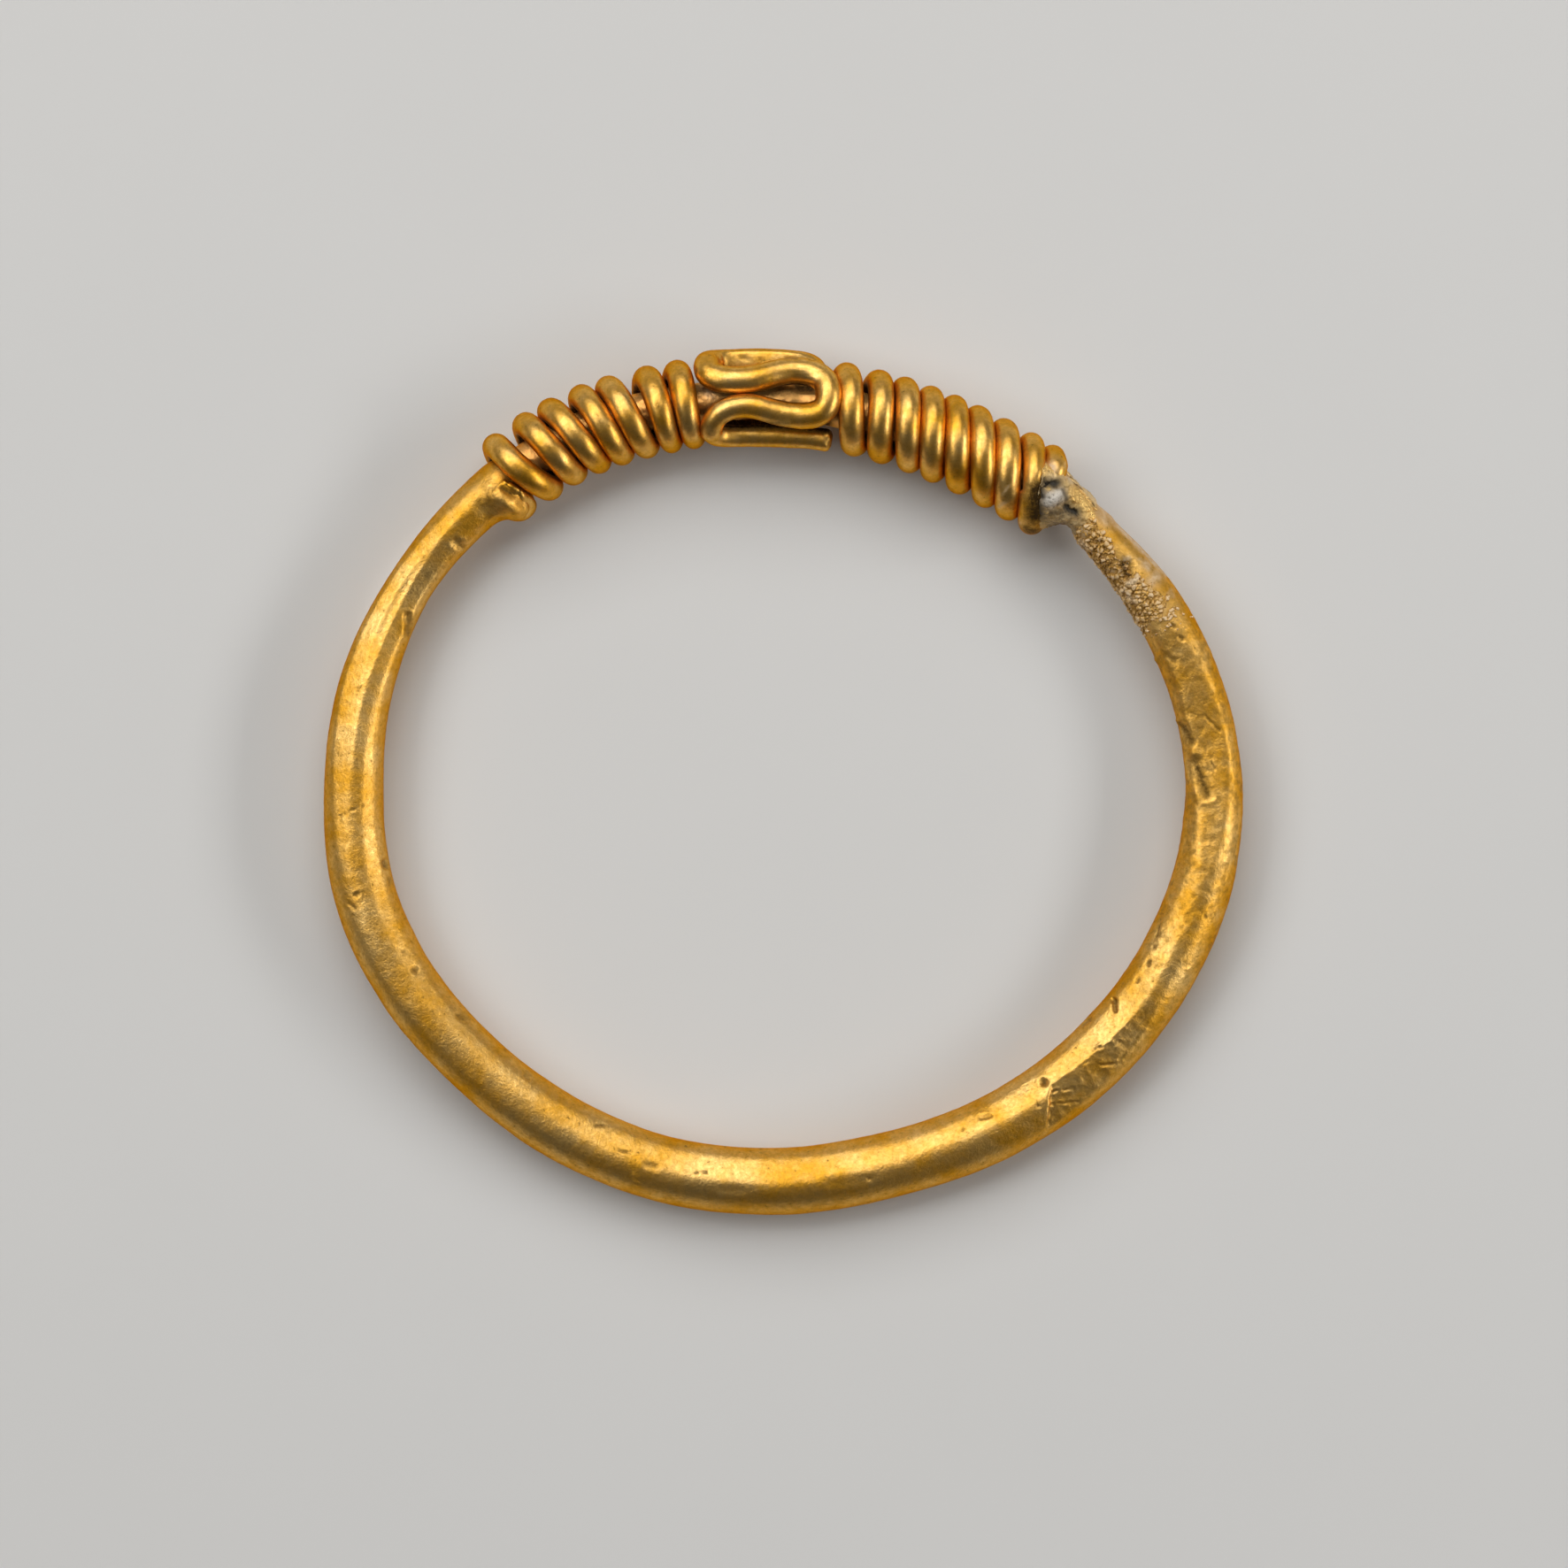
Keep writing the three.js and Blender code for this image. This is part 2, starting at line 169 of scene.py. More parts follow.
def chance(cells: Array, seed: int) -> Array:
    """Returns a fixed random value from -1 to 1 for each cell of a grid."""
    mixed = cells @ np.array((73856093, 19349663, 83492791), np.int64) + seed * 40503
    mixed = (mixed ^ (mixed >> 13)) * 1274126177
    return ((mixed ^ (mixed >> 16)) & 0xFFFF) / 0x7FFF - 1


def noise(points: Array, cell: float, seed: int, octaves: int = 1) -> Array:
    """Makes smooth random values that change over about one cell.

    Args:
        points: points in millimetres.
        cell: size of a cell in millimetres.
        seed: number that picks the pattern.
        octaves: how many patterns are added, each half as large and half as strong as the one before.

    Returns:
        A value from about -1 to 1 for each point.
    """
    total = np.zeros(points.shape[:-1])
    for octave in range(octaves):
        scaled = points * (2**octave / cell)
        base = np.floor(scaled).astype(np.int64)
        ease = smooth_step(scaled - base, 0, 1)
        for corner in np.ndindex(2, 2, 2):
            weight = np.where(corner, ease, 1 - ease).prod(axis=-1)
            total += chance(base + corner, seed + octave) * weight / 2**octave
    return total


def stray(points: Array, cell: float, seed: int, axes: int, octaves: int = 1) -> Array:
    """Returns a smooth random vector of so many axes for each point."""
    return np.stack([noise(points, cell, seed + axis, octaves) for axis in range(axes)], axis=-1)


def relief(points: Array, waves: Waves, seed: int) -> Array:
    """Returns the height of random lumps at each point."""
    parts = enumerate(waves)
    return sum(depth * noise(points, cell, seed + i, octaves) for i, (depth, cell, octaves) in parts)


def flakes(points: Array, cell: float, seed: int) -> tuple[Array, Array, Array]:
    """Splits space into flakes of about one cell.

    Args:
        points: points in millimetres.
        cell: size of a flake in millimetres.
        seed: number that picks the pattern.

    Returns:
        For each point, how far inside its flake it is in cells, the flake's own random value from -1
        to 1, and how far the point lies up the flake's own slope.
    """
    scaled = points / cell
    base = np.floor(scaled).astype(np.int64)
    first, second = np.full((2, *base.shape[:-1]), np.inf)
    value, slope = np.zeros((2, *base.shape[:-1]))
    for corner in np.ndindex(3, 3, 3):
        box = base + corner - 1
        drawn = np.stack([chance(box, seed + i) for i in range(6)], axis=-1)
        off_middle = scaled - (box + 0.5 + 0.5 * drawn[..., :3])
        apart = np.linalg.norm(off_middle, axis=-1)
        nearer = apart < first
        second = np.where(nearer, first, np.minimum(second, apart))
        first = np.where(nearer, apart, first)
        value = np.where(nearer, chance(box, seed + 6), value)
        slope = np.where(nearer, (off_middle * drawn[..., 3:]).sum(axis=-1), slope)
    return second - first, value, slope


# Meshes


def make_mesh(name: str, points: Array, faces: list[Array]) -> Mesh:
    """Makes a Blender mesh.

    Args:
        name: name of the mesh.
        points: points in millimetres.
        faces: corner numbers of the faces, in blocks of faces with as many corners.

    Returns:
        The mesh, in metres.
    """
    mesh = bpy.data.meshes.new(name)
    mesh.vertices.add(len(points))
    mesh.vertices.foreach_set("co", (points * METRES).astype(np.float32).ravel())
    counts = np.concatenate([np.full(len(block), block.shape[1]) for block in faces])
    corners = np.concatenate([block.ravel() for block in faces])
    mesh.loops.add(len(corners))
    mesh.loops.foreach_set("vertex_index", corners.astype(np.int32))
    mesh.polygons.add(len(counts))
    starts = np.concatenate([[0], np.cumsum(counts)[:-1]])
    mesh.polygons.foreach_set("loop_start", starts.astype(np.int32))
    mesh.update(calc_edges=True)
    mesh.validate()
    return mesh


@dataclass
class Skin:
    """A closed skin of rings of points, with what is painted on it."""

    points: Array  # in millimetres, as rings along, sides around and three numbers
    layers: dict[Layer, Array] = field(default_factory=dict)  # values as rings along and sides around
    closed: bool = False  # whether the last ring joins the first one

    def normals(self) -> Array:
        """Returns the way out at each point."""
        around = np.roll(self.points, -1, axis=1) - np.roll(self.points, 1, axis=1)
        along = np.gradient(self.points, axis=0)
        if self.closed:
            along = np.roll(self.points, -1, axis=0) - np.roll(self.points, 1, axis=0)
        return unit(np.cross(around, along))

    def push(self, heights: Array) -> None:
        """Moves each point out by its height in millimetres."""
        self.points = self.points + self.normals() * heights[..., None]

    def faces(self) -> list[Array]:
        """Returns the corner numbers of the faces, four-sided ones first and then those of the ends."""
        rings, sides = self.points.shape[:2]
        spans = rings if self.closed else rings - 1
        ring, side = np.meshgrid(np.arange(spans), np.arange(sides), indexing="ij")
        next_ring, next_side = (ring + 1) % rings, (side + 1) % sides
        corners = [(ring, side), (ring, next_side), (next_ring, next_side), (next_ring, side)]
        found = [np.stack([(r * sides + s).ravel() for r, s in corners], axis=1)]
        if not self.closed:
            edge = np.arange(sides)
            after = (edge + 1) % sides
            first, last = rings * sides, (rings - 1) * sides
            found.append(np.stack([np.full(sides, first), after, edge], axis=1))
            found.append(np.stack([np.full(sides, first + 1), last + edge, last + after], axis=1))
        return found

    def mesh(self, name: str, shift: Array) -> Mesh:
        """Makes the smooth mesh of the skin, with its painted layers.

        Args:
            name: name of the mesh.
            shift: how far the skin moves to its place, in millimetres.

        Returns:
            The mesh.
        """
        points = self.points.reshape(-1, 3)
        if not self.closed:
            points = np.concatenate([points, self.points[[0, -1]].mean(axis=1)])
        mesh = make_mesh(name, points + shift, self.faces())
        mesh.shade_smooth()
        for layer in Layer:
            values = self.layers.get(layer, np.zeros(self.points.shape[:2]))
            caps = [] if self.closed else values[[0, -1]].mean(axis=1)
            painted = np.clip(np.concatenate([values.ravel(), caps]), 0, 1).astype(np.float32)
            mesh.attributes.new(layer.value, "FLOAT", "POINT").data.foreach_set("value", painted)
        return mesh


# Line of the ring and the photograph's pixels


@dataclass(frozen=True)
class Photograph:
    """Where the photograph's pixels lie on the floor, seen straight from above."""

    middle: Pixel = (885.5, 884.0)  # the pixel over the middle of the ring
    pixel: float = 0.021134  # size of a pixel in millimetres
    width: int = 1772  # of the picture, in pixels

    def spot(self, place: Pixel) -> Array:
        """Returns the point under a pixel, in millimetres from the middle of the ring."""
        return np.array((place[0] - self.middle[0], self.middle[1] - place[1])) * self.pixel


@dataclass(frozen=True)
class Placing:
    """How the ring, which is made round its own middle, lies under the photograph."""

    photograph: Photograph
    shift: Array  # how far the ring moves to its place

    def spot(self, place: Pixel) -> Array:
        """Returns the point under a pixel before the ring moves to its place."""
        return self.photograph.spot(place) - self.shift[:2]


@dataclass
class Frames:
    """Points on the rod's line, with the directions outwards and up from it."""

    point: Array
    outward: Array
    lift: Array

    def around(self, angles: Array, distances: Array) -> Array:
        """Returns the points at angles round the line and distances from it."""
        outward = self.outward * (distances * np.cos(angles))[..., None]
        return self.point + outward + self.lift * (distances * np.sin(angles))[..., None]


@dataclass
class RingLine:
    """The line along the middle of the rod."""

    half_width: float = 10.3
    front_depth: float = 9.11  # from its middle to its front
    back_depth: float = 9.54
    front_height: float = 1.149  # over the table
    back_height: float = 0.755
    # How far the hammered hoop strays from the oval, in even steps from the front
    stray_shares: Shares = (
        (1.002, 0.982, 0.97, 0.978, 0.981, 0.987, 0.998, 1.003, 1.001, 0.999, 0.995, 0.99)
        + (1, 1.009, 1.008, 1.004, 1.011, 1.011, 0.997, 1.001, 1.008, 1.014, 1.03, 1.018)
    )
    samples: int = 6000  # points that the line is measured on

    def __post_init__(self) -> None:
        """Measures the line on its samples."""
        points = curve_through(self._controls(), self.samples, closed=True)
        after = np.roll(points, -1, axis=0)
        steps = np.linalg.norm(after - points, axis=1)
        self.length = steps.sum()
        self._places = np.concatenate([[0], np.cumsum(steps)])
        self._points = np.concatenate([points, points[:1]])
        tangents = unit(after - np.roll(points, 1, axis=0))
        self._tangents = np.concatenate([tangents, tangents[:1]])

    def _controls(self) -> Array:
        """Returns the points that the line is drawn through."""
        shares = np.array(self.stray_shares)
        angles = FULL_TURN * (1 / 4 - np.arange(len(shares)) / len(shares))
        depths = np.where(np.sin(angles) > 0, self.front_depth, self.back_depth)
        y = shares * depths * np.sin(angles)
        raised = (y + self.back_depth) / (self.front_depth + self.back_depth)
        z = blend(self.back_height, self.front_height, raised)
        return np.stack([shares * self.half_width * np.cos(angles), y, z], axis=1)

    def frames(self, places: Array) -> Frames:
        """Returns the points and directions at places along the line."""
        wrapped = np.mod(places, self.length)
        points, tangents = (
            np.stack([np.interp(wrapped, self._places, column) for column in table.T], axis=-1)
            for table in (self._points, self._tangents)
        )
        along = unit(tangents)
        outward = unit(np.cross(UP, along))
        return Frames(points, outward, np.cross(along, outward))

    def nearest(self, spot: Array) -> float:
        """Returns the place along the line that is nearest to a spot seen from above."""
        apart = spot - self._points[:-1, :2]
        return float(self._places[np.argmin((apart**2).sum(axis=1))])


# Finishes


class Nodes:
    """Builds a material node by node."""

    def __init__(self, name: str) -> None:
        """Starts an empty material of that name."""
        self.material = bpy.data.materials.new(name)
        self.material.use_nodes = True
        self.tree = self.material.node_tree
        self.tree.nodes.clear()

    def feed(self, socket: Socket, value: object) -> None:
        """Links an input to another node's socket, or sets its value."""
        if isinstance(value, Socket):
            self.tree.links.new(value, socket)
        else:
            socket.default_value = value

    def add(self, kind: str, settings: dict | None = None, **inputs: object) -> bpy.types.Node:
        """Adds a node.

        Args:
            kind: name of the node's type without ShaderNode.
            settings: the node's own settings.
            **inputs: values or sockets for its inputs, by their names with underscores for spaces.

        Returns:
            The node.
        """
        node = self.tree.nodes.new("ShaderNode" + kind)
        for name, value in (settings or {}).items():
            setattr(node, name, value)
        for name, value in inputs.items():
            wanted = name.replace("_", " ").lower()
            self.feed(next(s for s in node.inputs if s.enabled and s.name.lower() == wanted), value)
        return node

    def noise(self, cell: float, detail: float = 2, roughness: float = 0.5) -> Socket:
        """Adds a noise whose cells have a size in millimetres, and returns its values."""
        where = self.add("TexCoord").outputs["Object"]
        scale = 1 / (cell * METRES)
        texture = self.add("TexNoise", Vector=where, Scale=scale, Detail=detail, Roughness=roughness)
        return texture.outputs["Fac"]

    def scratches(self, turn: float) -> Socket:
        """Adds fine, sparse scratches that run at an angle in degrees, and returns their values."""
        mapped = self.add(
            "Mapping",
            {"vector_type": "TEXTURE"},
            Vector=self.add("TexCoord").outputs["Object"],
            Rotation=(0.2, 0.3, math.radians(turn)),
            Scale=(1.2 * METRES, 0.04 * METRES, 0.5 * METRES),
        )
        texture = self.add("TexNoise", Vector=mapped.outputs["Vector"], Scale=1.0, Detail=1.0)
        return self.ramp(texture.outputs["Fac"], 0.68, 0.76)

    def ramp(self, value: Socket, low: float, high: float) -> Socket:
        """Stretches a value so that low gives 0 and high gives 1, and returns the result."""
        return self.add("MapRange", {"clamp": True}, Value=value, From_Min=low, From_Max=high).outputs[0]

    def between(self, value: Socket, low: float, high: float) -> Socket:
        """Turns a value from 0 to 1 into one from low to high, and returns the result."""
        return self.add("MapRange", {"clamp": True}, Value=value, To_Min=low, To_Max=high).outputs[0]

    def mix(self, share: Socket, first: object, second: object) -> Socket:
        """Mixes two colours by a share, and returns the result."""
        one, other = (value if isinstance(value, Socket) else (*value, 1.0) for value in (first, second))
        node = self.add("Mix", {"data_type": "RGBA"}, Factor=share, A=one, B=other)
        return next(s for s in node.outputs if s.enabled)

    def stained(self, colour: Socket, *stains: tuple[Socket, Colour]) -> Socket:
        """Mixes stains into a colour, each by its share and over those before it, and returns the result."""
        return reduce(lambda below, stain: self.mix(stain[0], below, stain[1]), stains, colour)

    def math(self, operation: str, first: object, second: object) -> Socket:
        """Adds a sum or product of two values, and returns the result."""
        node = self.add("Math", {"operation": operation})
        self.feed(node.inputs[0], first)
        self.feed(node.inputs[1], second)
        return node.outputs["Value"]

    def times(self, first: object, second: object) -> Socket:
        """Returns the product of two values."""
        return self.math("MULTIPLY", first, second)

    def most(self, *values: Socket) -> Socket:
        """Returns the largest of some values."""
        return reduce(lambda first, second: self.math("MAXIMUM", first, second), values)

    def stronger(self, value: Socket) -> Socket:
        """Returns a share from 0 to 1 that rises faster than the value."""
        return self.math("SUBTRACT", 1.0, self.math("POWER", self.math("SUBTRACT", 1.0, value), 1.6))

    def layer(self, layer: Layer) -> Socket:
        """Returns the values painted on the mesh as that layer."""
        return self.add("Attribute", {"attribute_name": layer.value}).outputs["Fac"]

    def bump(self, height: Socket, depth: float, below: Socket | None = None) -> Socket:
        """Adds a bump of a depth in millimetres, over another one if given, and returns it."""
        under = {} if below is None else {"Normal": below}
        return self.add("Bump", Height=height, Distance=depth * METRES, Strength=1.0, **under).outputs[0]

    def finish(self, **inputs: object) -> Material:
        """Joins a shader with those inputs to the output, and returns the material."""
        self.add("OutputMaterial", Surface=self.add("BsdfPrincipled", **inputs).outputs[0])
        return self.material


@dataclass(frozen=True)
class OldGold:
    """Worn gold: matt from fine pits, finely scratched, browner where dirt has stayed, and dark where shade
    is painted on.
    """

    name: str
    pale: Colour = (0.96, 0.6, 0.19)  # where it is rubbed
    deep: Colour = (0.84, 0.41, 0.035)  # elsewhere
    edge: Colour = (0.8, 0.42, 0.08)  # tint of its reflections where it is seen edge on
    dirt: Colour = (0.035, 0.02, 0.007)  # in the hollows, and also the colour of the painted shade
    rose: Colour = (1.0, 0.52, 0.15)  # of the rough core
    crust: Colour = (0.46, 0.29, 0.1)  # stain under the crust
    chalk: Colour = (0.6, 0.52, 0.42)  # chalky film
    smoothest: float = 0.31  # roughness where it is rubbed
    roughest: float = 0.46  # roughness where it is pitted
    patch: float = 1.1  # size of a rubbed patch
    speck: float = 0.12  # size of the specks
    dent: float = 0.26  # size of the small soft dents
    dent_depth: float = 0.01
    grain: float = 0.06  # size of the fine pits
    grain_depth: float = 0.011
    scratch_turns: tuple[float, ...] = (25, 75, 130)  # degrees at which the fine scratches run
    scratch_depth: float = 0.0012

    def build(self) -> Material:
        """Returns the material."""
        nodes = Nodes(self.name)
        patches = nodes.ramp(nodes.noise(self.patch, 5, 0.62), 0.36, 0.64)
        specks = nodes.ramp(nodes.noise(self.speck, 5, 0.78), 0.36, 0.62)
        pits = nodes.ramp(nodes.noise(self.speck, 3, 0.6), 0.34, 0.22)
        brown = tuple(0.5 * value for value in self.deep)
        colour = nodes.stained(
            nodes.mix(patches, self.deep, self.pale),
            (nodes.between(specks, 0.5, 0.0), brown),
            (nodes.layer(Layer.ROSE), self.rose),
        )
        # The dirt and shade layer darkens the gold, both for dirt and for painted shade
        painted = nodes.times(nodes.layer(Layer.DIRT), nodes.between(specks, 1.4, 0.8))
        dirt = nodes.stronger(nodes.most(nodes.math("MINIMUM", painted, 1.0), nodes.times(pits, 0.5)))
        crust = nodes.layer(Layer.CRUST)
        film = nodes.times(nodes.layer(Layer.PALE), nodes.between(specks, 0.4, 1.0))
        normal = nodes.bump(nodes.noise(self.dent, 4, 0.6), self.dent_depth)
        for turn in self.scratch_turns:
            normal = nodes.bump(nodes.scratches(turn), -self.scratch_depth, normal)
        dull = nodes.most(crust, film, nodes.times(dirt, 0.75))
        return nodes.finish(
            Base_Color=nodes.stained(colour, (crust, self.crust), (film, self.chalk), (dirt, self.dirt)),
            Metallic=nodes.between(dull, 1.0, 0.0),
            Roughness=nodes.most(
                nodes.between(nodes.times(patches, specks), self.roughest, self.smoothest),
                nodes.between(dirt, 0.2, 0.7),
                nodes.between(crust, 0.2, 0.8),
                nodes.between(film, 0.2, 0.8),
            ),
            Specular_IOR_Level=0.25,
            Specular_Tint=(*self.edge, 1.0),
            Normal=nodes.bump(nodes.noise(self.grain, 4, 0.65), self.grain_depth, normal),
        )


@dataclass(frozen=True)
class DullSolder:
    """Brown and grey solder, pitted, with chalky crests and bare gold spots."""

    name: str
    dark: Colour = (0.03, 0.022, 0.01)  # in its hollows
    brown: Colour = (0.36, 0.21, 0.06)  # some of it
    tan: Colour = (0.5, 0.35, 0.16)  # the rest
    pale: Colour = (0.72, 0.66, 0.57)  # chalky crests
    gold: Colour = (0.96, 0.62, 0.2)  # bare gold
    stain: float = 0.2  # size of a stain
    grit: float = 0.07  # size of the grit
    grit_depth: float = 0.03

    def build(self) -> Material:
        """Returns the material."""
        nodes = Nodes(self.name)
        stains = nodes.ramp(nodes.noise(self.stain, 5, 0.7), 0.42, 0.58)
        grit = nodes.noise(self.grit, 4, 0.7)
        painted = (Layer.PALE, Layer.ROSE, Layer.DIRT)
        pale, gold, dirt = (nodes.stronger(nodes.layer(layer)) for layer in painted)
        hollows = nodes.between(nodes.ramp(grit, 0.48, 0.3), 0.0, 0.8)
        bare = nodes.times(gold, nodes.math("SUBTRACT", 1.0, dirt))
        return nodes.finish(
            Base_Color=nodes.stained(
                nodes.mix(stains, self.brown, self.tan),
                (pale, self.pale),
                (hollows, self.dark),
                (gold, self.gold),
                (dirt, self.dark),
            ),
            Metallic=bare,
            Roughness=nodes.times(nodes.between(stains, 0.4, 0.7), nodes.between(bare, 1.0, 0.6)),
            Normal=nodes.bump(grit, self.grit_depth),
        )


@dataclass(frozen=True)
class MineralCrust:
    """Pale mineral flakes, stained gold, with brown between them."""

    name: str
    gap: Colour = (0.26, 0.12, 0.015)  # between the flakes
    stained: Colour = (0.72, 0.41, 0.09)  # stained flakes
    pale: Colour = (0.88, 0.67, 0.42)  # clean ones
    grit: float = 0.06  # size of the grit
    grit_depth: float = 0.014

    def build(self) -> Material:
        """Returns the material."""
        nodes = Nodes(self.name)
        grit = nodes.noise(self.grit, 4, 0.7)
        pale = nodes.times(nodes.layer(Layer.PALE), nodes.between(grit, 0.4, 1.4))
        colour = nodes.mix(pale, self.stained, self.pale)
        return nodes.finish(
            Base_Color=nodes.mix(nodes.layer(Layer.DIRT), colour, self.gap),
            Metallic=nodes.between(nodes.ramp(pale, 0.0, 0.35), 0.75, 0.0),
            Roughness=nodes.between(grit, 0.3, 0.6),
            Specular_IOR_Level=0.6,
            Normal=nodes.bump(grit, self.grit_depth),
        )


@dataclass(frozen=True)
class PaleFloor:
    """Plain pale floor, faintly mottled."""

    name: str
    colour: Colour = (0.7, 0.69, 0.67)
    mottled: Colour = (0.685, 0.675, 0.655)  # where it is a little darker
    mottle: float = 6.0  # size of a darker patch
    roughness: float = 0.8

    def build(self) -> Material:
        """Returns the material."""
        nodes = Nodes(self.name)
        colour = nodes.mix(nodes.noise(self.mottle, 3), self.colour, self.mottled)
        return nodes.finish(Base_Color=colour, Roughness=self.roughness)


# Marks

STRAY, STRAY_LENGTH = 0.022, 0.13  # how far marks stray from straight lines, and over what length
BREAK_LENGTH = 0.11  # over which fine marks break off and begin again


@dataclass(frozen=True)
class Mark:
    """A dent, pit, crack, scratch or stain, placed by the photograph's pixels."""

    start: Pixel  # one end
    end: Pixel  # the other end
    width: float  # half of its width in pixels
    depth: float  # in millimetres, or its height if negative
    rim: float = 0.0  # height of the metal pushed up beside it
    amount: float = 0.0  # how strongly it is painted
    layer: Layer = Layer.DIRT  # what it is painted with
    swelling: bool = False  # whether it goes all round, and not only on the upper side

    @property
    def fine(self) -> bool:
        """Whether it is so fine that it breaks off and begins again."""
        return self.width < 2.5 and self.depth < 0.06


Marks = tuple[Mark, ...]


def mark_table(*rows: tuple) -> Marks:
    """Returns the marks of rows that hold the four numbers of their ends and then their other values."""
    return tuple(Mark(row[:2], row[2:4], *row[4:]) for row in rows)


def press_marks(skin: Skin, marks: Marks, placing: Placing, lift: Array) -> None:
    """Presses marks into the upper side of a skin and paints them.

    Args:
        skin: the skin.
        marks: the marks.
        placing: how the ring lies under the photograph.
        lift: the way up, once or at each point.
    """
    normals = skin.normals()
    facing = smooth_step((normals * lift).sum(axis=2), 0.0, 0.25)
    seen = skin.points[..., :2] + STRAY * stray(skin.points, STRAY_LENGTH, SEED + 5, axes=2, octaves=2)
    unbroken = smooth_step(noise(skin.points, BREAK_LENGTH, SEED + 7, 2), -0.45, 0.25)
    heights = np.zeros(facing.shape)
    for mark in marks:
        start, end = placing.spot(mark.start), placing.spot(mark.end)
        run = end - start
        share = np.clip((seen - start) @ run / (run @ run), 0, 1)
        apart = np.linalg.norm(seen - start - share[..., None] * run, axis=2)
        width = mark.width * placing.photograph.pixel
        shown = (1 if mark.swelling else facing) * (unbroken if mark.fine else 1)
        inside = np.exp(-((apart / width) ** 2)) * shown
        beside = np.exp(-(((apart - 1.6 * width) / (0.7 * width)) ** 2)) * shown
        heights += mark.rim * beside - mark.depth * inside
        painted = skin.layers.setdefault(mark.layer, np.zeros(facing.shape))
        painted[:] = np.maximum(painted, mark.amount * inside**1.3)
    skin.points = skin.points + normals * heights[..., None]


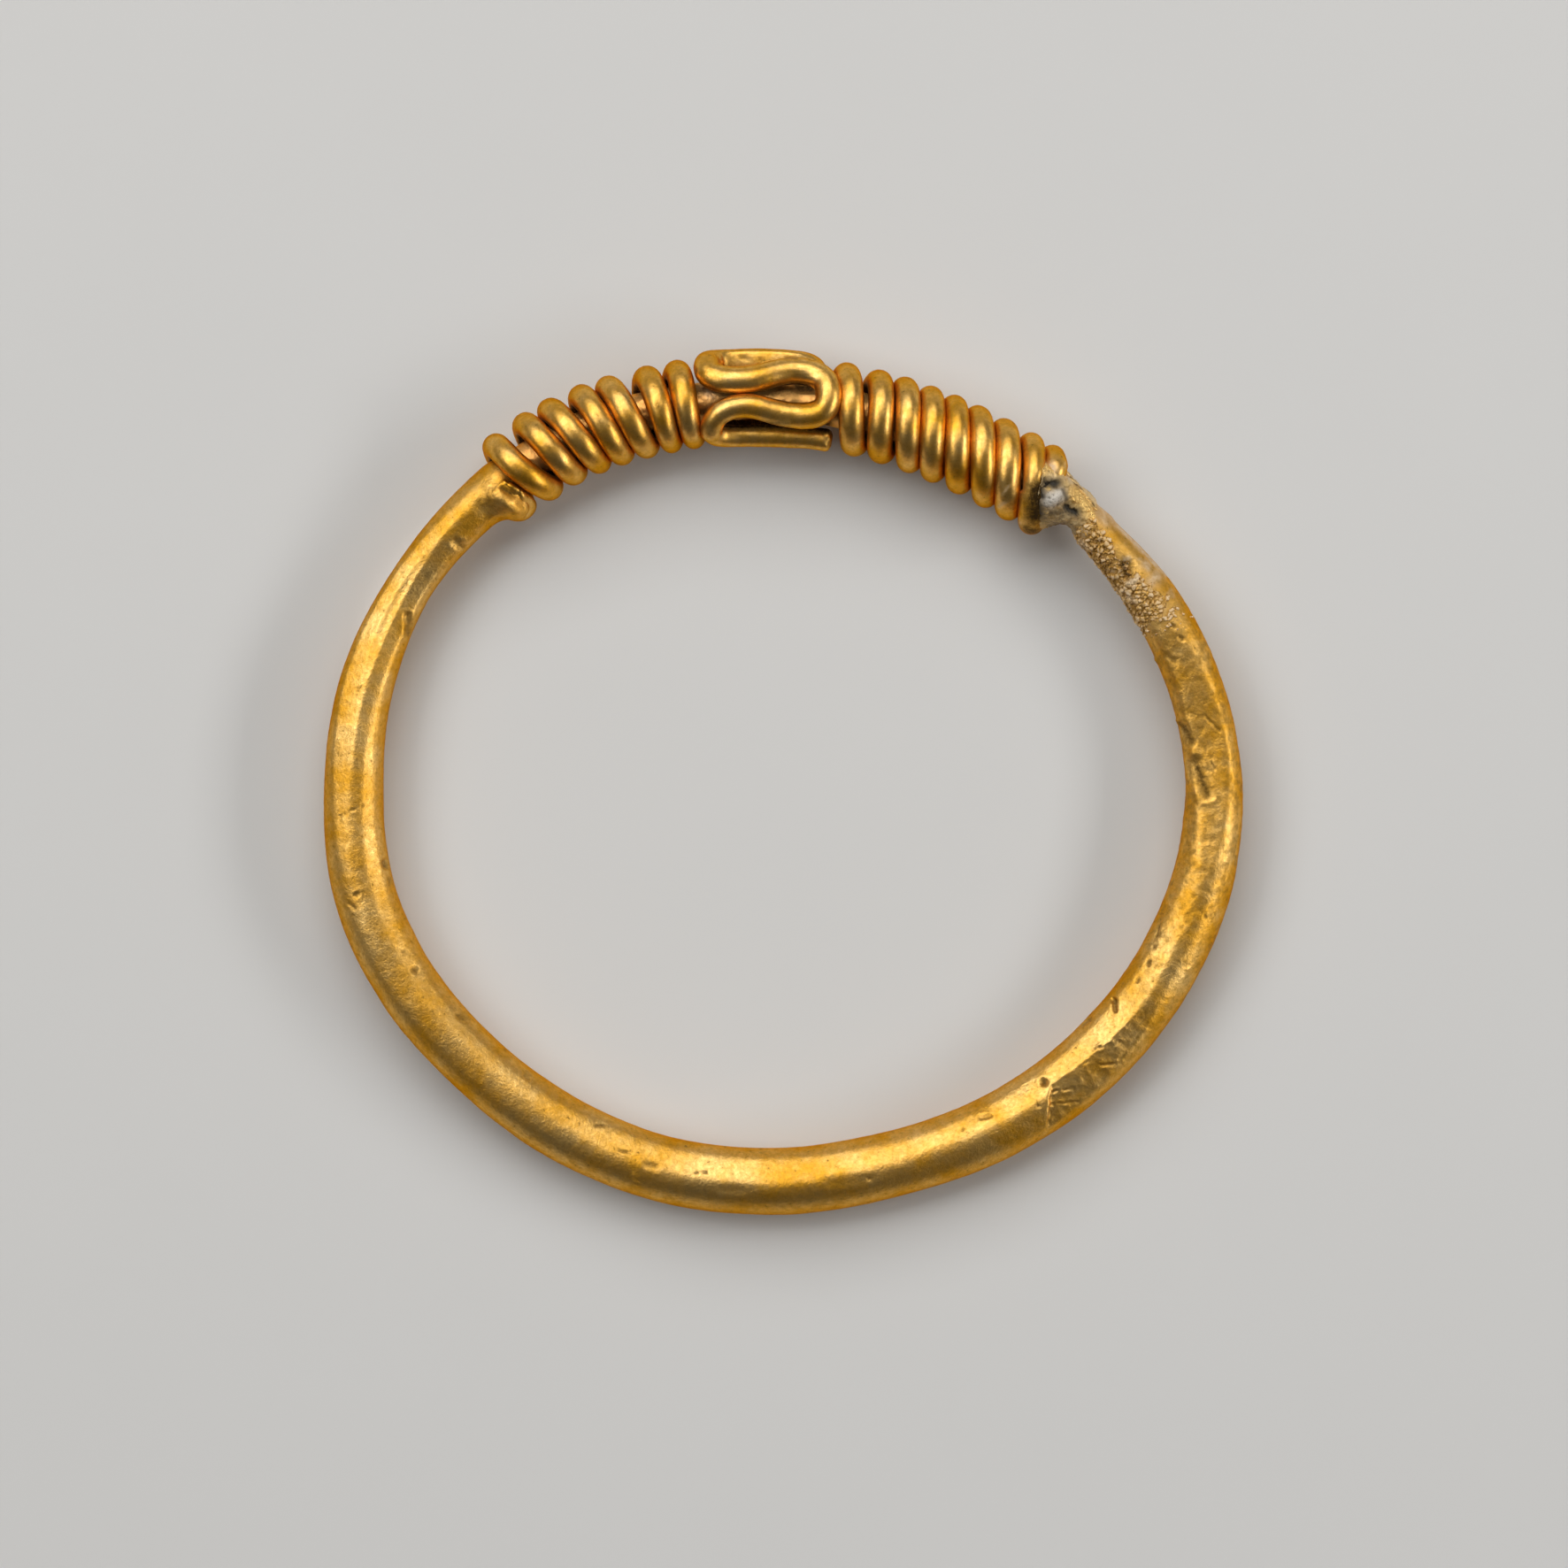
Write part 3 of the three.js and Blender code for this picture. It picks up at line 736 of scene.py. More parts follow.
HOOP_MARKS = mark_table(
    (560, 560, 566, 577, 11, -0.1, 0, 0, Layer.DIRT, True), (572, 566, 599, 576, 14, -0.2),
    (570, 549, 588, 556, 3, -0.05), (569, 553, 577, 557, 2.5, 0.05, 0, 0.6),
    (584, 576, 599, 570, 13, -0.24, 0, 0, Layer.DIRT, True), (558, 553, 557, 558, 1.6, 0.03, 0.006, 0.42),
    (565, 554, 566, 555, 2, -0.02), (1242, 570, 1254, 582, 9, -0.05, 0, 0, Layer.DIRT, True),
    # Painted shade: the marks at (862, 442) and (903, 438) darken the core in the cage's eye, and the one at
    # (822, 481) darkens the slot between the cage's strands
    (862, 442, 915, 439, 9, 0, 0, 0.15), (903, 438, 917, 438, 8, 0.04, 0, 0.65),
    (822, 481, 930, 482, 8, 0, 0, 1), (790, 432, 803, 446, 8, -0.01, 0, 0.5, Layer.PALE),
    (1216, 592, 1226, 604, 7, -0.03, 0, 0.5, Layer.PALE), (1222, 553, 1262, 594, 5, 0, 0, 0.8, Layer.PALE),
    (1264, 596, 1318, 650, 3.5, 0, 0, 0.9, Layer.PALE), (1293, 638, 1296, 641, 6, 0, 0, 0.7, Layer.PALE),
    (1300, 658, 1308, 650, 8, 0, 0, 0.6, Layer.PALE), (1240, 580, 1250, 590, 8, 0, 0, 0.6, Layer.PALE),
    (1222, 618, 1226, 620, 5, -0.02, 0, 0.9, Layer.PALE), (1271, 641, 1273, 650, 8, 0.06, 0, 0.52),
    (385.6, 922.6, 411.3, 911.4, 1.8, 0.021, 0.006, 0.21), (407.3, 776.4, 414.7, 770.8, 1.6, -0.014),
    (461, 697, 463, 716, 4, 0.056, 0.01, 0.33), (516, 614, 522, 618, 4.4, 0.042, 0.007, 0.33),
    # Painted shade: the mark at (547, 574) darkens the hollow between the left winding's tail and the
    # shoulder
    (547, 574, 556, 572, 8.8, 0.042, 0, 0.39), (435.9, 974, 437, 978, 4, 0.077, 0.015, 0.39),
    (441.5, 992, 442, 1000, 2.4, 0.028, 0.005, 0.24), (453, 1061, 453, 1062, 2.4, 0.035, 0, 0.42),
    (457, 1071, 458, 1074, 2.4, 0.028, 0, 0.36), (469, 1094, 472, 1097, 2.9, 0.042, 0, 0.48),
    (484, 1109, 486, 1112, 2.1, 0.021, 0, 0.3), (519, 1146, 525, 1150, 3.7, 0.035, 0.005, 0.45),
    (403.5, 1012, 406, 1010, 2.8, 0.028, 0.007, 0.3), (396, 1021, 402, 1026, 2.1, 0.021, 0.005, 0.3),
    (594, 1215, 598, 1218, 2.9, 0.035, 0.01, 0.3), (676, 1270, 682, 1269.5, 2.9, 0.049, 0, 0.48),
    (700.7, 1299.2, 713.3, 1301.4, 1.4, 0.032, 0.005, 0.48),
    (783.3, 1325.6, 799.4, 1323.3, 1.4, 0.035, 0.006, 0.48), (732, 1315, 741, 1318, 4, 0.021, 0.005, 0.33),
    (717, 1327, 720, 1331, 2.7, -0.021), (858, 1300.6, 866, 1300.2, 2.1, 0.035, 0, 0.36),
    (815, 1344, 838, 1345, 4.8, 0.021, 0, 0.26), (982.2, 1331.4, 982.6, 1331.6, 2.1, 0.042, 0, 0.54),
    (938, 1336, 985, 1331, 5.6, 0.014, 0.003, 0.25), (1084.3, 1278.6, 1093.5, 1267, 1.8, 0.025, 0.01, 0.24),
    (1108, 1261.5, 1118, 1261, 2.6, 0.021, 0.013, 0.18), (1152, 1235, 1160, 1227, 2.2, 0.025, 0.005, 0.3),
    (1179, 1222, 1179.6, 1222.8, 4, 0.084, 0.015, 0.59),
    (1172.7, 1249, 1173, 1249.4, 2.2, 0.035, 0.005, 0.36), (1185.3, 1229, 1187.6, 1268.2, 1.3, -0.012),
    (1164.7, 1281.6, 1178.4, 1282.4, 1.9, -0.021), (1188.6, 1233, 1206.9, 1230, 1.8, 0.032, 0.02, 0.48),
    (1188.6, 1247.3, 1219.2, 1244.3, 1.8, 0.032, 0.02, 0.48),
    (1229.4, 1204.5, 1266.1, 1200.4, 1.8, 0.032, 0.02, 0.42),
    (1242, 1183, 1266.1, 1176, 1.9, 0.032, 0.022, 0.42), (1227, 1188, 1244, 1182, 1.8, 0.025, 0.005, 0.48),
    (1289.6, 1143.3, 1294.7, 1163.7, 1.1, -0.01), (1299.8, 1141.2, 1303.9, 1147.3, 1.6, -0.014),
    (1268, 1157, 1271, 1167, 1.3, -0.01), (1258, 1129, 1259.5, 1141, 2.4, 0.098, 0.015, 0.57),
    (1222, 1156, 1230, 1151, 4, 0.056, 0, 0.33), (1313, 1033, 1302.9, 1069.8, 1.9, 0.035, 0.005, 0.48),
    (1298.8, 1083, 1296, 1090, 2.1, 0.035, 0.005, 0.48), (1285.5, 1105, 1283, 1109, 1.9, 0.028, 0.005, 0.42),
    (1319.2, 1014.7, 1320.2, 1022.9, 1.4, -0.021), (1357, 1033, 1360, 1036, 2.4, 0.035, 0.005, 0.42),
    (1317, 1063.7, 1335.5, 1064.7, 1, 0.01, 0.003, 0.12), (1341.6, 1095.3, 1348.8, 1091.2, 1.8, -0.017),
    (1324, 708, 1325.4, 709.4, 2.1, 0.035, 0, 0.48), (1331, 721, 1335, 723, 2.4, 0.035, 0, 0.48),
    (1318, 741, 1325, 748, 4, 0.028, 0, 0.33), (1306, 745, 1309.4, 748, 2.7, -0.056),
    (1358.2, 807.1, 1377.7, 826.6, 1.4, 0.028, 0.004, 0.42), (1337, 822, 1345, 838, 5, 0.05, 0.012, 0.52),
    (1344, 832, 1346, 834, 1.9, -0.049), (1331, 814, 1333, 818, 2.4, -0.056),
    (1350, 862, 1362, 897, 6.5, 0.05, 0.02, 0.55), (1364.7, 854.8, 1371.2, 869.9, 1.3, 0.028, 0.005, 0.42),
    (1353, 866, 1360, 884, 2.4, -0.028),
)

LEFT_WIRE_MARKS = mark_table(
    (572, 548, 588, 556, 3, -0.05), (590, 558, 592, 562, 3, -0.04), (569, 553, 577, 557, 2.5, 0.06, 0, 0.8),
    (574, 559, 581, 559, 2.4, -0.04), (561, 549, 559, 558, 2, 0.05, 0, 0.5),
)

RIGHT_WIRE_MARKS = mark_table(
    (1170, 556, 1169, 582, 12, -0.02, 0, 1), (1181, 546, 1192, 548, 6, 0.05, 0, 1),
    (1186, 528, 1188, 534, 7, -0.02, 0, 0.9, Layer.PALE), (1173, 536, 1175, 538, 4, -0.02),
    (1160, 598, 1176, 602, 6, -0.03, 0, 0.6), (1148, 590, 1152, 594, 4, -0.02, 0, 0.5, Layer.PALE),
    (1132, 560, 1138, 552, 2, -0.012, 0, 0.5, Layer.PALE),
    (1128, 573, 1134, 570, 2.5, -0.012, 0, 0.5, Layer.PALE),
    (1202, 524, 1203, 530, 2, -0.01, 0, 0.5, Layer.PALE),
)

CAGE_MARKS = mark_table(
    # Painted shade: the mark at (822, 481) darkens the cage's wire along the slot between its strands
    (822, 481, 890, 481, 3.5, 0, 0, 0.4), (838, 405, 846, 406, 2.5, 0.015, 0.004, 0.3),
    (858, 408, 864, 409, 2, 0.02, 0.004, 0.4), (884, 402, 892, 400, 2, -0.012),
    (896, 403, 906, 401, 2, -0.012), (888, 406, 900, 407, 2, 0.015, 0, 0.4),
    (871, 493, 872, 496, 2.2, 0.03, 0.004, 0.8), (787, 421, 797, 428, 1.6, 0.03, 0.005, 0.6),
    (929, 490, 938, 504, 3, 0.02, 0.006, 0.3),
)

SOLDER_MARKS = mark_table(
    (1160, 528, 1200, 532, 12, 0, 0, 0.9, Layer.ROSE), (1195, 546, 1204, 551, 6, -0.1, 0, 0.3, Layer.ROSE),
    (1181, 547, 1192, 548, 6, 0.16, 0, 1), (1173, 556, 1175, 562, 6, 0.1, 0, 1),
    (1166, 566, 1170, 582, 10, 0.03, 0, 1), (1206, 576, 1215, 581, 6.5, 0.12, 0, 1),
    (1183, 567, 1195, 561, 8, -0.1, 0, 0.9, Layer.PALE),
    (1207, 546, 1212, 549, 5, -0.01, 0, 0.5, Layer.PALE), (1198, 556, 1203, 566, 4, 0.03, 0, 0.6),
    (1186, 529, 1188, 535, 7, -0.02, 0, 0.9, Layer.PALE),
    (1210, 553, 1212, 553, 2.2, -0.06, 0, 1, Layer.ROSE),
    (1208, 558, 1209, 558, 1.8, -0.04, 0, 1, Layer.ROSE),
    (1208, 562, 1212, 566, 2.4, -0.06, 0, 1, Layer.ROSE),
    (1181, 551, 1183, 554, 2.2, -0.08, 0, 1, Layer.ROSE),
    (1193, 539, 1196, 539, 2.4, -0.04, 0, 1, Layer.ROSE),
    (1180, 580, 1182, 581, 1.6, -0.04, 0, 1, Layer.ROSE),
    (1160, 592, 1178, 598, 8, -0.02, 0, 0.5, Layer.ROSE), (1214, 556, 1238, 582, 13, 0, 0, 0.85, Layer.ROSE),
    (1186, 582, 1200, 582, 4, 0.02, 0, 0.4), (1212, 545, 1240, 570, 3.5, 0, 0, 0.6, Layer.PALE),
    (1196, 535, 1205, 541, 6, -0.05, 0, 0.5, Layer.PALE), (1224, 562, 1236, 572, 3.5, 0, 0, 0.4, Layer.PALE),
)

CRUST_MARKS = mark_table(
    (1274, 660, 1283, 655, 5, -0.06, 0, 1, Layer.PALE), (1271, 641, 1273, 650, 7.5, 0.07, 0, 0.9),
    (1236, 613, 1243, 613, 3, 0.03, 0.02, 0.7), (1221, 613, 1226, 618, 5, -0.01, 0, 0.8, Layer.PALE),
    (1268, 668, 1280, 680, 4, -0.01, 0, 0.8, Layer.PALE),
)


# Sub-assemblies


@dataclass(frozen=True)
class Flat:
    """A place where a blow or a scraper has flattened the rod."""

    start: float  # where it begins along the hoop
    deepest: float  # where it is deepest
    end: float  # where it ends
    facing: float  # the way that it faces, as a share of a turn
    depth: float  # how deep it goes into the rod
    steep: bool = False  # whether it ends at its deepest place with a step
    slant: float = 0.0  # how far that step runs along the hoop, for each radian round the rod
    softness: float = 0.03  # how round its edges are
    step_length: float = 0.06
    least_toward: float = 0.2  # cosine of the angle from its facing where it stops

    def depths(self, places: Array) -> Array:
        """Returns how deep the flat is at places along the hoop."""
        if self.steep:
            rising = np.clip((places - self.start) / (self.deepest - self.start), 0, 1)
            end = self.deepest + self.step_length
        else:
            rising, end = smooth_step(places, self.start, self.deepest), self.end
        return self.depth * rising * (1 - smooth_step(places, self.deepest, end))

    def cut(self, places: Array, angles: Array, radii: Array) -> Array:
        """Takes the flat off the rod's radii.

        Args:
            places: places along the hoop.
            angles: angles round the rod.
            radii: radii there.

        Returns:
            The radii that are left.
        """
        turned = np.mod(angles - FULL_TURN * self.facing + math.pi, FULL_TURN) - math.pi
        toward = np.cos(turned)
        depths = self.depths(places + self.slant * turned)
        excess = radii - (radii - depths) / np.maximum(toward, self.least_toward)
        softness = self.softness * smooth_step(depths, 0, 0.02) + 1e-6
        rounded = (excess + np.sqrt(excess**2 + softness**2)) / 2
        return np.where((toward > self.least_toward) & (depths > 1e-4), radii - rounded, radii)


@dataclass
class Hoop:
    """The forged rod, with the thin core at its front."""

    line: RingLine  # the line that it follows
    seam_place: float = 0.0  # where the rod's two ends meet, set by the right winding
    shoulder_place: float = 0.0  # where the left shoulder begins, set by the left winding
    back_diameter: float = 1.61
    core_diameter: float = 0.95
    taper_length: float = 0.6  # over which each shoulder thins to the core
    shoulder_reach: float = 0.36  # how much further the left shoulder is swollen under the winding
    seam_gap: float = 0.05  # between the two ends
    # Thickness of the bare hoop, in even steps from the seam to the left shoulder
    thickness_shares: Shares = (
        (0.565, 0.757, 0.82, 0.895, 0.95, 0.99, 0.995, 1, 1, 0.99, 0.963, 0.935, 0.93)
        + (0.895, 0.814, 0.7, 0.745)
    )
    # The scraped flat is the steep one
    flats: tuple[Flat, ...] = (
        Flat(10.9, 14.1, 17.3, 0.262, 0.14, softness=0.05),
        Flat(20.35, 23.95, 23.95, 0.205, 0.12, steep=True, slant=0.56, softness=0.02),
        Flat(16.5, 21.5, 28.5, 0.325, 0.06),
        Flat(25.5, 31.5, 38.0, 0.315, 0.05, softness=0.05),
        Flat(44.0, 50.0, 54.0, 0.185, 0.09, softness=0.02),
        Flat(46.5, 50.8, 54.2, 0.29, 0.08),
        Flat(35.5, 43.5, 49.0, 0.338, 0.016, softness=0.01),
        Flat(7.1, 7.6, 8.15, 0.49, 0.18, softness=0.04),
    )
    bare_radius: float = 0.56  # from which on the rod has lost the look of the core
    bare_edge: tuple[float, float] = (7.0, 7.4)  # where it loses it at the right shoulder
    rough_face: Edges = (9.5, 12, 18, 23)  # the rougher right side of the hoop
    film_face: Edges = (7.6, 8.1, 9.8, 11.2)  # where the chalky film lies
    hammered: Waves = ((0.02, 2.6, 1), (0.009, 0.9, 2))
    core_lumps: Waves = ((0.022, 0.22, 2),)
    pit: float = 0.15  # size of a pit
    pit_depths: tuple[float, float, float] = (0.003, 0.003, 0.0115)  # all over, more on the right, scraped
    scraped_depth: float = 0.012  # how far the scraped face lies below the flat
    rings: int = 1700  # points along it
    sides: int = 104  # points round it
    crowding: float = 0.32  # how much closer together they lie on its top

    def radius(self, places: Array, reach: float = 0.0) -> Array:
        """Returns the rod's radius at places along it, with its left shoulder moved by a reach."""
        from_seam = np.mod(places - self.seam_place, self.line.length)
        bare_length = self.line.length - self.seam_place + self.shoulder_place
        bare = self.back_diameter / 2 * share_at(self.thickness_shares, from_seam / bare_length)
        from_shoulder = bare_length + reach + self.taper_length - from_seam
        thickened = smooth_step(np.minimum(from_seam, from_shoulder), 0, self.taper_length)
        return blend(self.core_diameter / 2, bare, thickened)

    def seat(self, places: Array, angles: Array) -> Array:
        """Returns the rod's radius at places along it and angles round it, with its flats cut."""
        radii = self.radius(places, self.shoulder_reach)
        return reduce(lambda left, flat: flat.cut(places, angles, left), self.flats, radii)

    def grid(self) -> tuple[Array, Array]:
        """Returns the places and angles of the points of its skin, closer together on its top."""
        start = self.seam_place + self.seam_gap / 2
        places = np.linspace(start, start + self.line.length - self.seam_gap, self.rings)
        steps = FULL_TURN * (np.arange(self.sides) / self.sides)
        angles = steps + self.crowding * np.cos(steps)
        return tuple(np.meshgrid(np.mod(places, self.line.length), angles, indexing="ij"))

    def scraped(self, places: Array, angles: Array) -> Array:
        """Returns where the scraper has taken metal off, from 0 to 1."""
        radii = self.radius(places)
        scraper = next(flat for flat in self.flats if flat.steep)
        return smooth_step(radii - scraper.cut(places, angles, radii), 0.006, 0.02)

    def build(self, placing: Placing) -> Skin:
        """Makes the rod's skin with its hammer marks, dents and scratches.

        Args:
            placing: how the ring lies under the photograph.

        Returns:
            The skin.
        """
        places, angles = self.grid()
        frames = self.line.frames(places)
        skin = Skin(frames.around(angles, self.seat(places, angles)))
        points = skin.points
        radii = self.radius(places, self.shoulder_reach)
        bare = smooth_step(radii, self.core_diameter / 2, self.bare_radius)
        bare = np.maximum(bare, smooth_step(places, *self.bare_edge) * (places < self.line.length / 2))
        scraped = self.scraped(places, angles)
        rough = stretch(places, self.rough_face)
        pits = noise(points, self.pit, SEED + 2, 2)
        everywhere, on_right, on_scraped = self.pit_depths
        pitted = (everywhere + on_right * rough + on_scraped * scraped) * pits
        forged = relief(points, self.hammered, SEED) + (pitted - self.scraped_depth * scraped)
        skin.push(blend(relief(points, self.core_lumps, SEED + 3), forged, bare))
        dirt = 0.3 * scraped * smooth_step(-pits, -0.3, 0.5) + 0.2 * rough * smooth_step(-pits, 0, 0.6)
        dirt += (1 - bare) * 0.35 * smooth_step(noise(points, 0.3, SEED + 4, 2), 0, 0.7)
        chalky = smooth_step(noise(points, 0.28, SEED + 6, 3), 0.1, 0.7)
        film = 0.55 * stretch(places, self.film_face) * chalky
        skin.layers = {Layer.DIRT: dirt, Layer.ROSE: 1 - bare, Layer.PALE: film}
        press_marks(skin, HOOP_MARKS, placing, frames.lift)
        return skin


@dataclass
class Route:
    """The middle of a wire, with the way out from the core and its half sizes."""

    at: Array
    radial: Array
    half_width: Array
    half_height: Array

    def round_ends(self, least: float = 0.5, reach: float = 0.6) -> None:
        """Rounds both ends down to the least share of the wire's size, over a reach in half widths."""
        steps = np.linalg.norm(np.diff(self.at, axis=0), axis=1)
        along = np.concatenate([[0], np.cumsum(steps)])
        from_end = np.minimum(along, along[-1] - along) / (reach * self.half_width)
        share = blend(least, 1, np.sqrt(np.clip(1 - (1 - np.clip(from_end, 0, 1)) ** 2, 0, 1)))
        self.half_width = self.half_width * share
        self.half_height = self.half_height * share

    def skin(self, sides: int) -> Skin:
        """Returns the wire's plain skin, with that many points round it."""
        heading = unit(np.gradient(self.at, axis=0))
        across = unit(np.cross(heading, self.radial))
        outward = np.cross(across, heading)
        angles = -FULL_TURN * np.arange(sides) / sides
        tall = self.half_height[:, None] * np.sin(angles)
        wide = self.half_width[:, None] * np.cos(angles)
        points = outward[:, None] * tall[..., None] + across[:, None] * wide[..., None]
        return Skin(self.at[:, None] + points)

    def dress(self, skin: Skin, marks: Marks, placing: Placing) -> Skin:
        """Lays dirt and painted shade where the wire faces the core, and presses its marks.

        Args:
            skin: the wire's skin.
            marks: its marks.
            placing: how the ring lies under the photograph.

        Returns:
            The skin.
        """
        inward = -np.einsum("rsk,rk->rs", skin.normals(), self.radial)
        # Painted shade, with dirt: the side of the wire that faces the core is darkened, where the core
        # shades it
        skin.layers = {Layer.DIRT: 0.85 * smooth_step(inward, 0.1, 0.7)}
        press_marks(skin, marks, placing, UP)
        return skin


@dataclass
class Winding:
    """One wire wound round the core."""

    hoop: Hoop  # the rod that carries it
    marks: Marks  # what is pressed into it
    first_place: float  # of its turn number 0 along the core
    pitch: float  # from one turn to the next
    spacing_shares: Shares  # how the pitch varies from turn to turn
    first_turn: float  # where the wire starts, in turns
    last_turn: float  # where it ends
    lean_angles: tuple[float, float]  # degrees by which its first and last turns lean along the core
    seed: int  # picks its dents
    # How far each turn has slipped along the core at the ring's outer edge, at its inner edge and on top
    outer_nudges: Shares = (0.0, 0.0)
    inner_nudges: Shares = (0.0, 0.0)
    top_nudges: Shares = (0.0, 0.0)
    tail_turns: float = 0.0  # how much of a turn at its start is hammered flat
    end_run: float = 0.0  # length of its straight end
    end_bend: float = 3.2  # how fast that end bends down to the core
    end_steps: int = 20  # points along that end
    wire_diameter: float = 0.56
    swell: float = 1.09  # how much thicker it is than the solid
    widening: float = 1.03  # how much wider it is than high
    widest: float = 0.495  # half of its greatest width, as a share of the way to the next turn
    seat_gap: float = 0.03  # between the wire and the core
    tail_width_shares: Shares = (0.8, 1.15, 1.3, 1.3, 1.15, 1)
    tail_height_shares: Shares = (0.12, 0.22, 0.33, 0.55, 0.88, 1)
    dents: Waves = ((0.008, 0.7, 1), (0.0035, 0.2, 2))
    crease: float = 0.22  # size of the creases in its tail
    crease_height: float = 0.05
    crease_depth: float = 0.02
    turn_steps: int = 110  # points along each turn
    sides: int = 36  # points round it

    @property
    def last_place(self) -> float:
        """Returns the place of its last whole turn along the core."""
        return self.first_place + self.pitch * sum(self.spacing_shares)

    def turn_at(self, turns: Array) -> tuple[Array, Array]:
        """Finds where the wire is after a number of turns.

        Args:
            turns: numbers of turns, whole ones at the top of the ring.

        Returns:
            The places along the core and the angles round it.
        """
        places = self.first_place + self.pitch * np.cumsum((0, *self.spacing_shares))
        last = len(places) - 1
        index = np.clip(np.floor(turns).astype(int), 0, last - 1)
        middle = blend(places[index], places[index + 1], turns - index)
        angles = FULL_TURN * (turns + 1 / 4)
        distance = self.hoop.core_diameter / 2 + self.seat_gap + self.wire_diameter / 2
        lean = np.tan(np.radians(blend(*self.lean_angles, turns / last))) * distance
        nudges = ((self.outer_nudges, 1 / 4), (self.inner_nudges, -1 / 4), (self.top_nudges, 0))
        outer, inner, top = (share_at(table, (turns + ahead) / (len(table) - 1)) for table, ahead in nudges)
        slip = blend(inner, outer, (1 + np.cos(angles)) / 2) + top * np.maximum(np.sin(angles), 0) ** 2
        return middle - lean * np.cos(angles) + slip, angles

    def route(self) -> Route:
        """Returns the wire's route on the rod, no wider than lets its turns touch."""
        steps = round((self.last_turn - self.first_turn) * self.turn_steps)
        turns = np.linspace(self.first_turn, self.last_turn, steps + 1)
        places, angles = self.turn_at(turns)
        hammered = (turns - self.first_turn) / self.tail_turns if self.tail_turns else np.ones(len(turns))
        half_width = self.wire_diameter / 2 * share_at(self.tail_width_shares, hammered)
        half_height = self.wire_diameter / 2 * share_at(self.tail_height_shares, hammered)
        frames = self.hoop.line.frames(places)
        at = frames.around(angles, self.hoop.radius(places) + self.seat_gap + half_height)
        radial = unit(at - frames.point)
        if self.end_run:
            run = np.linspace(0, self.end_run, self.end_steps)[1:, None]
            heading = unit(at[-1] - at[-2])
            at = np.concatenate([at, at[-1] + heading * run - radial[-1] * self.end_bend * run**2])
            radial, half_width, half_height = (
                np.concatenate([table, np.repeat(table[-1:], len(run), axis=0)])
                for table in (radial, half_width, half_height)
            )
        gap = np.full(len(at), np.inf)
        apart = np.linalg.norm(at[self.turn_steps :] - at[: -self.turn_steps], axis=1)
        gap[: len(apart)] = apart
        gap[-len(apart) :] = np.minimum(gap[-len(apart) :], apart)
        half_width = np.minimum(half_width * self.swell * self.widening, gap * self.widest)
        route = Route(at, radial, half_width, half_height * self.swell)
        route.round_ends()
        return route

    def build(self, placing: Placing) -> Skin:
        """Makes the wire's skin with its dents and its creased tail.

        Args:
            placing: how the ring lies under the photograph.

        Returns:
            The skin.
        """
        route = self.route()
        skin = route.skin(self.sides)
        heights = relief(skin.points, self.dents, self.seed)
        if self.tail_turns:
            share = np.arange(len(route.at)) / (self.tail_turns * self.turn_steps)
            creased = 1 - smooth_step(share, 0.25, 0.7)
            folds = np.abs(noise(skin.points, self.crease, self.seed + 2, 2))
            heights += creased[:, None] * (self.crease_height * folds - self.crease_depth)
        skin.push(heights)
        return route.dress(skin, self.marks, placing)


